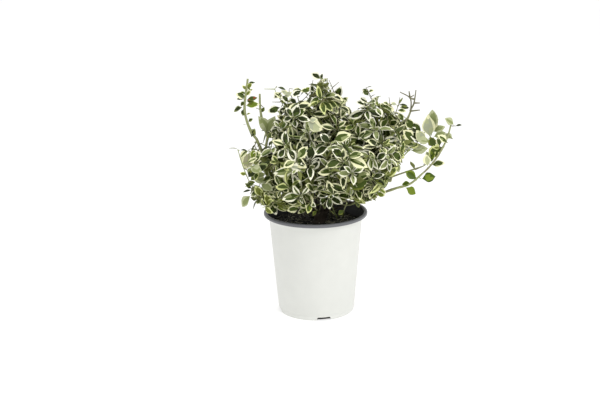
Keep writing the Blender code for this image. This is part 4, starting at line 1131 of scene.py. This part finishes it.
def leafForm(chance):
    # one leaf, a unit long: a gridded blade on its stalk, and under it a ridged back that shares its rim
    stations = foliage["outline"]
    slim = foliage["width"] / foliage["length"] * chance.uniform(*foliage["slims"])
    last = len(stations) - 1
    bm = bmesh.new()
    bmesh.ops.create_grid(bm, x_segments=4, y_segments=last, size=1.0)
    grid = sorted(bm.verts, key=lambda vert: (round(vert.co.y, 3), round(vert.co.x, 3)))
    border = [chance.uniform(*foliage["margins"]) for _ in range(2)]
    least, most = foliage["marginLimits"]
    shift = foliage["marginStep"]
    for row, (along, width) in enumerate(stations):
        for column in range(5):
            side = (column - 2) / 2
            if abs(side) == 0.5:
                way = 0 if side < 0 else 1
                border[way] = min(most, max(least, border[way] + chance.uniform(-shift, shift)))
                side = math.copysign(border[way], side)
            elif side:
                side *= chance.uniform(*foliage["veinSides"])
            lead = 0.0
            if 1 < row < last:
                lead = foliage["veinLead"] * (abs(side) - 0.5) + foliage["ragged"] * chance.uniform(-1, 1)
            grid[row * 5 + column].co = (side * width * slim, along + lead, 0.0)
    bmesh.ops.remove_doubles(bm, verts=bm.verts, dist=1e-5)
    rim = {vert for edge in bm.edges if edge.is_boundary for vert in edge.verts}
    bm.faces.ensure_lookup_table()
    kinds = []
    for face in bm.faces:
        middle = face.calc_center_median()
        row = sum(middle.y > along for along, _ in stations) - 1
        edged = sum(vert in rim for vert in face.verts) > 1 and (row < 1 or abs(middle.x) > 0.01)
        if row < 1:
            kinds.append("stalk")
        else:
            kinds.append("margin" if edged or row == last - 1 else ("middle", middle.x > 0, row))
    top = list(bm.faces)
    copied = bmesh.ops.duplicate(bm, geom=bm.verts[:] + bm.edges[:] + bm.faces[:])["geom"]
    under = [item for item in copied if isinstance(item, bmesh.types.BMFace)]
    bmesh.ops.reverse_faces(bm, faces=under)
    thick = foliage["thickness"] / foliage["length"]
    rimPlaces = {tuple(round(value, 6) for value in vert.co) for vert in rim}
    for vert in {vert for face in under for vert in face.verts}:
        if tuple(round(value, 6) for value in vert.co) not in rimPlaces:
            vert.co.z -= thick * (foliage["ridge"] if abs(vert.co.x) < 1e-4 else 1.0)
    bmesh.ops.remove_doubles(bm, verts=bm.verts, dist=1e-6)
    bm.verts.index_update()
    points = np.array([vert.co for vert in bm.verts])
    faces = [tuple(vert.index for vert in face.verts) for face in top + under]
    bm.free()
    return points, faces, kinds + ["under"] * len(under)


class Crowd:
    # what has been placed, in small cells, to keep new leaves off it
    def __init__(self, cell):
        self.cell = cell
        self.cells = {}

    def add(self, points):
        for point in points:
            key = tuple(int(value // self.cell) for value in point)
            self.cells.setdefault(key, []).append(point)

    def near(self, points, distance):
        for point in points:
            x, y, z = (int(value // self.cell) for value in point)
            for i in (x - 1, x, x + 1):
                for j in (y - 1, y, y + 1):
                    for k in (z - 1, z, z + 1):
                        for other in self.cells.get((i, j, k), ()):
                            if ((point - other) ** 2).sum() < distance * distance:
                                return True
        return False


def spreadTips(name, stem, chance):
    # golden-angle rays over the mass, two in three to its surface and the rest short of it
    mass = masses[name]
    turn = math.pi * (3.0 - math.sqrt(5.0))
    phase = chance.uniform(0.0, 2 * math.pi)
    count = int(foliage["tipTries"] * mass["twigs"])
    found = []
    for index in range(count):
        height = 1.0 - 2.0 * (index + 0.5) / count
        ring = math.sqrt(1.0 - height * height)
        angle = phase + turn * index
        ray = np.array((ring * math.cos(angle), ring * math.sin(angle), height)) * mass["radii"]
        share = 1.0
        while share > foliage["tipLeast"] and not inSpace(mass["centre"] + ray * share, name):
            share -= foliage["tipStep"]
        shaded = index % 3 == 0
        deep = chance.uniform(*foliage["innerTips" if shaded else "outerTips"])
        tip = mass["centre"] + ray * (share - foliage["tipMargin"] / np.linalg.norm(ray)) * deep
        if share < foliage["tipLeast"] or not inOutline(tip):
            continue
        if np.linalg.norm(tip - stem[0]) > foliage["tipNearest"] * shrub["twigShortest"]:
            found.append((share * deep + foliage["tipShuffle"] * chance.random(), shaded, tip))
    found.sort(key=lambda spot: -spot[0])
    return [(tip, shaded) for _, shaded, tip in found[:mass["twigs"]]]


def growTwigs(name, limb, chance):
    # each twig leaves the nearest branch that points its way, bows out and turns up to the light
    mass, stem = masses[name], limb["stem"]
    headings = tangentsOf(stem)
    skeleton = [(point, heading) for point, heading in zip(stem[1:-1], headings[1:-1])]
    twigs = []
    usual, own = foliage["leafy"], mass.get("tones", "mixed")
    targets = [(tip, mass.get("tipLeafy", usual), own) for tip in mass["tips"]]
    targets += [(tip, usual, "shaded" if shaded else own) for tip, shaded in spreadTips(name, stem, chance)]
    for target, leafy, tones in targets:
        best = None
        for point, heading in skeleton:
            span = target - point
            length = np.linalg.norm(span)
            if length < foliage["twigLeast"] * shrub["twigShortest"]:
                continue
            cost = length + foliage["turnCost"] * (length - np.dot(span, heading))
            if best is None or cost < best[0]:
                best = (cost, point, span / length, length)
        if best is None:
            continue
        _, point, span, length = best
        outward = unit(target - np.array(foliage["crownCentre"]))
        rise = unit(span + (outward + up) * foliage["rise" if leafy else "bareRise"])
        path = bezierPoints(point, target - rise * length * foliage["bow"], target, foliage["twigPoints"])
        twigs.append((path, leafy, tones))
        headings = tangentsOf(path)
        skeleton += [(path[index], headings[index]) for index in foliage["twigForks"]]
    return twigs


def leafSpots(length, leafy):
    spots = list(foliage["buds"])
    while spots[-1] < leafy:
        spots.append(spots[-1] + foliage["spacing"])
    return [spot for spot in spots if spot < min(0.9 * length, leafy)]


def finePoints(path):
    # a point for each millimetre
    count = 2 + int(1000 * pathLength(path))
    return np.array([pathPoint(path, share) for share in np.linspace(0.0, 1.0, count)])


def growShown(seen, stem, twigs, crowd, forms, chance):
    # what the photograph shows, each piece led from the branch that is nearest to where it is seen
    leaves, added = [], []
    branches = np.concatenate([finePoints(path) for path in [stem] + [twig[0] for twig in twigs]])
    thick = seen.get("thick", foliage["twigRadius"])
    for pixels in seen.get("basal", ()):
        start = mixPoint(pixels[0])
        depths = np.linspace(start[1], seen["depth"], len(pixels))
        knots = [photoPoint(pixel, depth) for pixel, depth in zip(pixels, depths)]
        path = threadPoints(knots, foliage["basalPoints"])
        added.append((path, np.linspace(foliage["basalSwell"] * thick, thick, len(path))))
        branches = np.concatenate([branches, finePoints(path)])
    for pixels in seen["twigs"]:
        first = photoPoint(pixels[0], seen["depth"])
        carrier = nearestTo(first, branches)
        length = pathLength(np.array([photoPoint(pixel, carrier[1]) for pixel in pixels]))
        slope = length * chance.uniform(-foliage["shownSlope"], foliage["shownSlope"])
        depths = carrier[1] + slope * np.linspace(0.0, 1.0, len(pixels))
        knots = [carrier] + [photoPoint(pixel, depth) for pixel, depth in zip(pixels, depths)]
        if np.linalg.norm(knots[1] - carrier) < foliage["shownNear"]:
            knots.pop(1)
        path = threadPoints(knots, 4 * len(knots))
        added.append((path, np.linspace(thick, foliage["shownTaper"] * thick, len(path))))
        branches = np.concatenate([branches, finePoints(path)])
    places = [(*ends, tones) for tones, found in seen.items() if tones in sprayTones for ends in found]
    for footPixel, tipPixel, tones in places:
        foot = photoPoint(footPixel, seen["depth"])
        carrier = nearestTo(foot, branches)
        foot = photoPoint(footPixel, carrier[1])
        reach = np.linalg.norm(photoPoint(tipPixel, carrier[1]) - foot)
        tip = photoPoint(tipPixel, carrier[1] + reach * chance.uniform(*foliage["shownSlopes"]))
        if np.linalg.norm(foot - carrier) > foliage["twigRadius"]:
            path = bezierPoints(carrier, 0.5 * (carrier + foot) - up * foliage["shownSag"], foot, 4)
            thickest = foliage["shownStalk"] * foliage["twigRadius"]
            added.append((path, np.linspace(thickest, foliage["twigTip"], len(path))))
        blade = unit(tip - foot)
        facing = unit(viewpoint - foot) * foliage["shownFacings"].get(tones, foliage["shownFacing"])
        facing += up * foliage["shownUpward"]
        facing = squared(facing + jitter(chance, foliage["shownTurned"]), blade)
        whole, wide = np.linalg.norm(tip - foot), foliage["shownWidths"].get(tones, foliage["shownWidth"])
        crowd.add([foot + blade * whole * share for share in foliage["shownSamples"]])
        leaves.append(placeLeaf(foot, np.cross(blade, facing), blade, facing, (wide * whole, whole), forms,
                                chance.choice(sprayTones[tones]), chance))
    return leaves, added


def growLeaves(mass, path, leafy, tones, crowd, forms, chance):
    # opposite leaves in crossed pairs, packed at the tip and further apart below
    parts = []
    length = pathLength(path)
    headings = tangentsOf(path)
    tones = chance.choice(sprayTones[tones])
    large = foliage["length"] * mass.get("leaf", 1.0)
    buds = len(foliage["buds"])
    roll = chance.uniform(0, math.pi)
    for order, spot in enumerate(leafSpots(length, leafy)):
        share = 1.0 - spot / length
        root = pathPoint(path, share)
        heading = headings[min(len(path) - 1, round(share * (len(path) - 1)))]
        size = foliage["budSizes"][order] if order < buds else 1.0
        steep = foliage["budLeans"][order] if order < buds else foliage["lean"]
        level = np.cross(heading, up)
        if np.linalg.norm(level) < foliage["upright"]:
            level = np.array((math.cos(roll), math.sin(roll), 0.0))
        level = squared(level, heading)
        side = unit(np.cross(level, heading) + foliage["crossed"] * level) if order % 2 else level
        for way in (side, -side):
            for scale, turn in foliage["tries"]:
                lean = math.radians(steep + chance.uniform(-foliage["leanSpread"], foliage["leanSpread"]))
                aim = way * math.cos(turn) + np.cross(heading, way) * math.sin(turn)
                droop = up * chance.uniform(*foliage["droop"]) * (1.0 if order > 1 else foliage["budDroop"])
                blade = unit(aim * math.cos(lean) + heading * math.sin(lean) + droop)
                whole = large * scale * size * chance.uniform(*foliage["lengths"])
                tip = root + blade * whole
                outside = (((tip - mass["centre"]) / mass["radii"]) ** 2).sum() > foliage["slack"]
                outside = outside or tip[1] < foliage["front"]
                if outside or tip[2] < mass.get("skirt", foliage["skirt"]) or not inOutline(tip):
                    continue
                facing = heading * foliage["forward"] + up * foliage["upward"]
                facing = squared(facing + jitter(chance, foliage["turned"]), blade)
                across = np.cross(blade, facing)
                half = foliage["sampleHalf"] * whole * foliage["width"] / foliage["length"]
                middle = root + blade * whole * 0.5
                samples = [root + blade * whole * share for share in foliage["samples"]]
                samples += [tip, middle + across * half, middle - across * half]
                if crowd.near(samples, foliage["clearance"]):
                    continue
                crowd.add(samples)
                sizes = (whole * chance.uniform(*foliage["widths"]), whole)
                parts.append(placeLeaf(root, across, blade, facing, sizes, forms, tones, chance))
                break
    return parts


def placeLeaf(root, across, blade, facing, sizes, forms, tones, chance):
    # folds the leaf on its midrib, curls its tip back and deals its colours out in patches
    points, faces, kinds = forms[chance.randrange(len(forms))]
    shaped = points.copy()
    shaped[:, 2] += chance.uniform(*foliage["fold"]) * np.abs(shaped[:, 0])
    shaped[:, 2] -= chance.uniform(*foliage["curl"]) * shaped[:, 1] ** 2
    shaped[:, 2] += chance.uniform(-foliage["twist"], foliage["twist"]) * shaped[:, 0] * shaped[:, 1]
    shaped[:, 1] += foliage["stalk"]
    placed = root + shaped * (*sizes, sizes[1]) @ np.stack([across, blade, facing])
    patches = [(chance.randrange(*foliage["patchStarts"]), chance.randrange(*foliage["patchRows"]))
               for _ in range(2)]
    slots = []
    for kind in kinds:
        if kind == "under":
            tone = "paleUnderside"
        elif kind == "stalk":
            tone = "stalkGreen"
        elif kind == "margin":
            tone = tones[2]
        else:
            start, count = patches[kind[1]]
            tone = tones[1] if start <= kind[2] < start + count else tones[0]
        slots.append(leafSlots.index(tone))
    return placed, faces, slots


def makeFoliage():
    chance = random.Random(foliage["seed"])
    forms = [leafForm(chance) for _ in range(foliage["forms"])]
    materials = leafMaterials()
    crowd = Crowd(foliage["cell"])
    for limb in limbs.values():
        crowd.add([pathPoint(limb["path"], share) for share in np.linspace(*foliage["limbSamples"])])
    twigParts, leafCount = [], 0
    chances = {name: random.Random("%s %d" % (name, foliage["seed"])) for name in masses}
    twigs = {name: growTwigs(name, limb, chances[name]) for name, limb in limbs.items()}
    shownLeaves = {name: [] for name in masses}
    for name, chance in chances.items():
        usual = np.linspace(foliage["twigRadius"], foliage["twigTip"], foliage["twigPoints"])
        tubes = [(path, usual, foliage["twigBark"]) for path, _, _ in twigs[name]]
        for seen in shown:
            if seen["mass"] == name:
                found, added = growShown(seen, limbs[name]["stem"], twigs[name], crowd, forms, chance)
                shownLeaves[name] += found
                barks = seen.get("barks", foliage["shownBark"])
                tubes += [(path, radii, barks) for path, radii in added]
        for path, radii, barks in tubes:
            points, faces = tubeArrays(path, radii, foliage["twigSides"])
            twigParts.append((points, faces, [leafSlots.index(chance.choice(barks))] * len(faces)))
    for group, names in leafGroups.items():
        leafParts = []
        for name in names:
            mass = masses[name]
            stem = (limbs[name]["stem"], mass.get("leafy", foliage["leafy"]), mass.get("tones", "mixed"))
            leafParts += shownLeaves[name]
            for path, leafy, tones in [stem] + twigs[name]:
                leafParts += growLeaves(mass, path, leafy, tones, crowd, forms, chances[name])
        leafCount += len(leafParts)
        addPiece("leaves" + group, joinedMesh("leaves" + group, leafParts), materials, names,
                 foliage["smooth"])
        print("leaves", group, len(leafParts))
    addPiece("twigs", joinedMesh("twigs", twigParts), materials, list(masses), shrub["smooth"])
    print("twigs", len(twigParts), "leaves", leafCount)


makeFoliage()
print("foliage made")
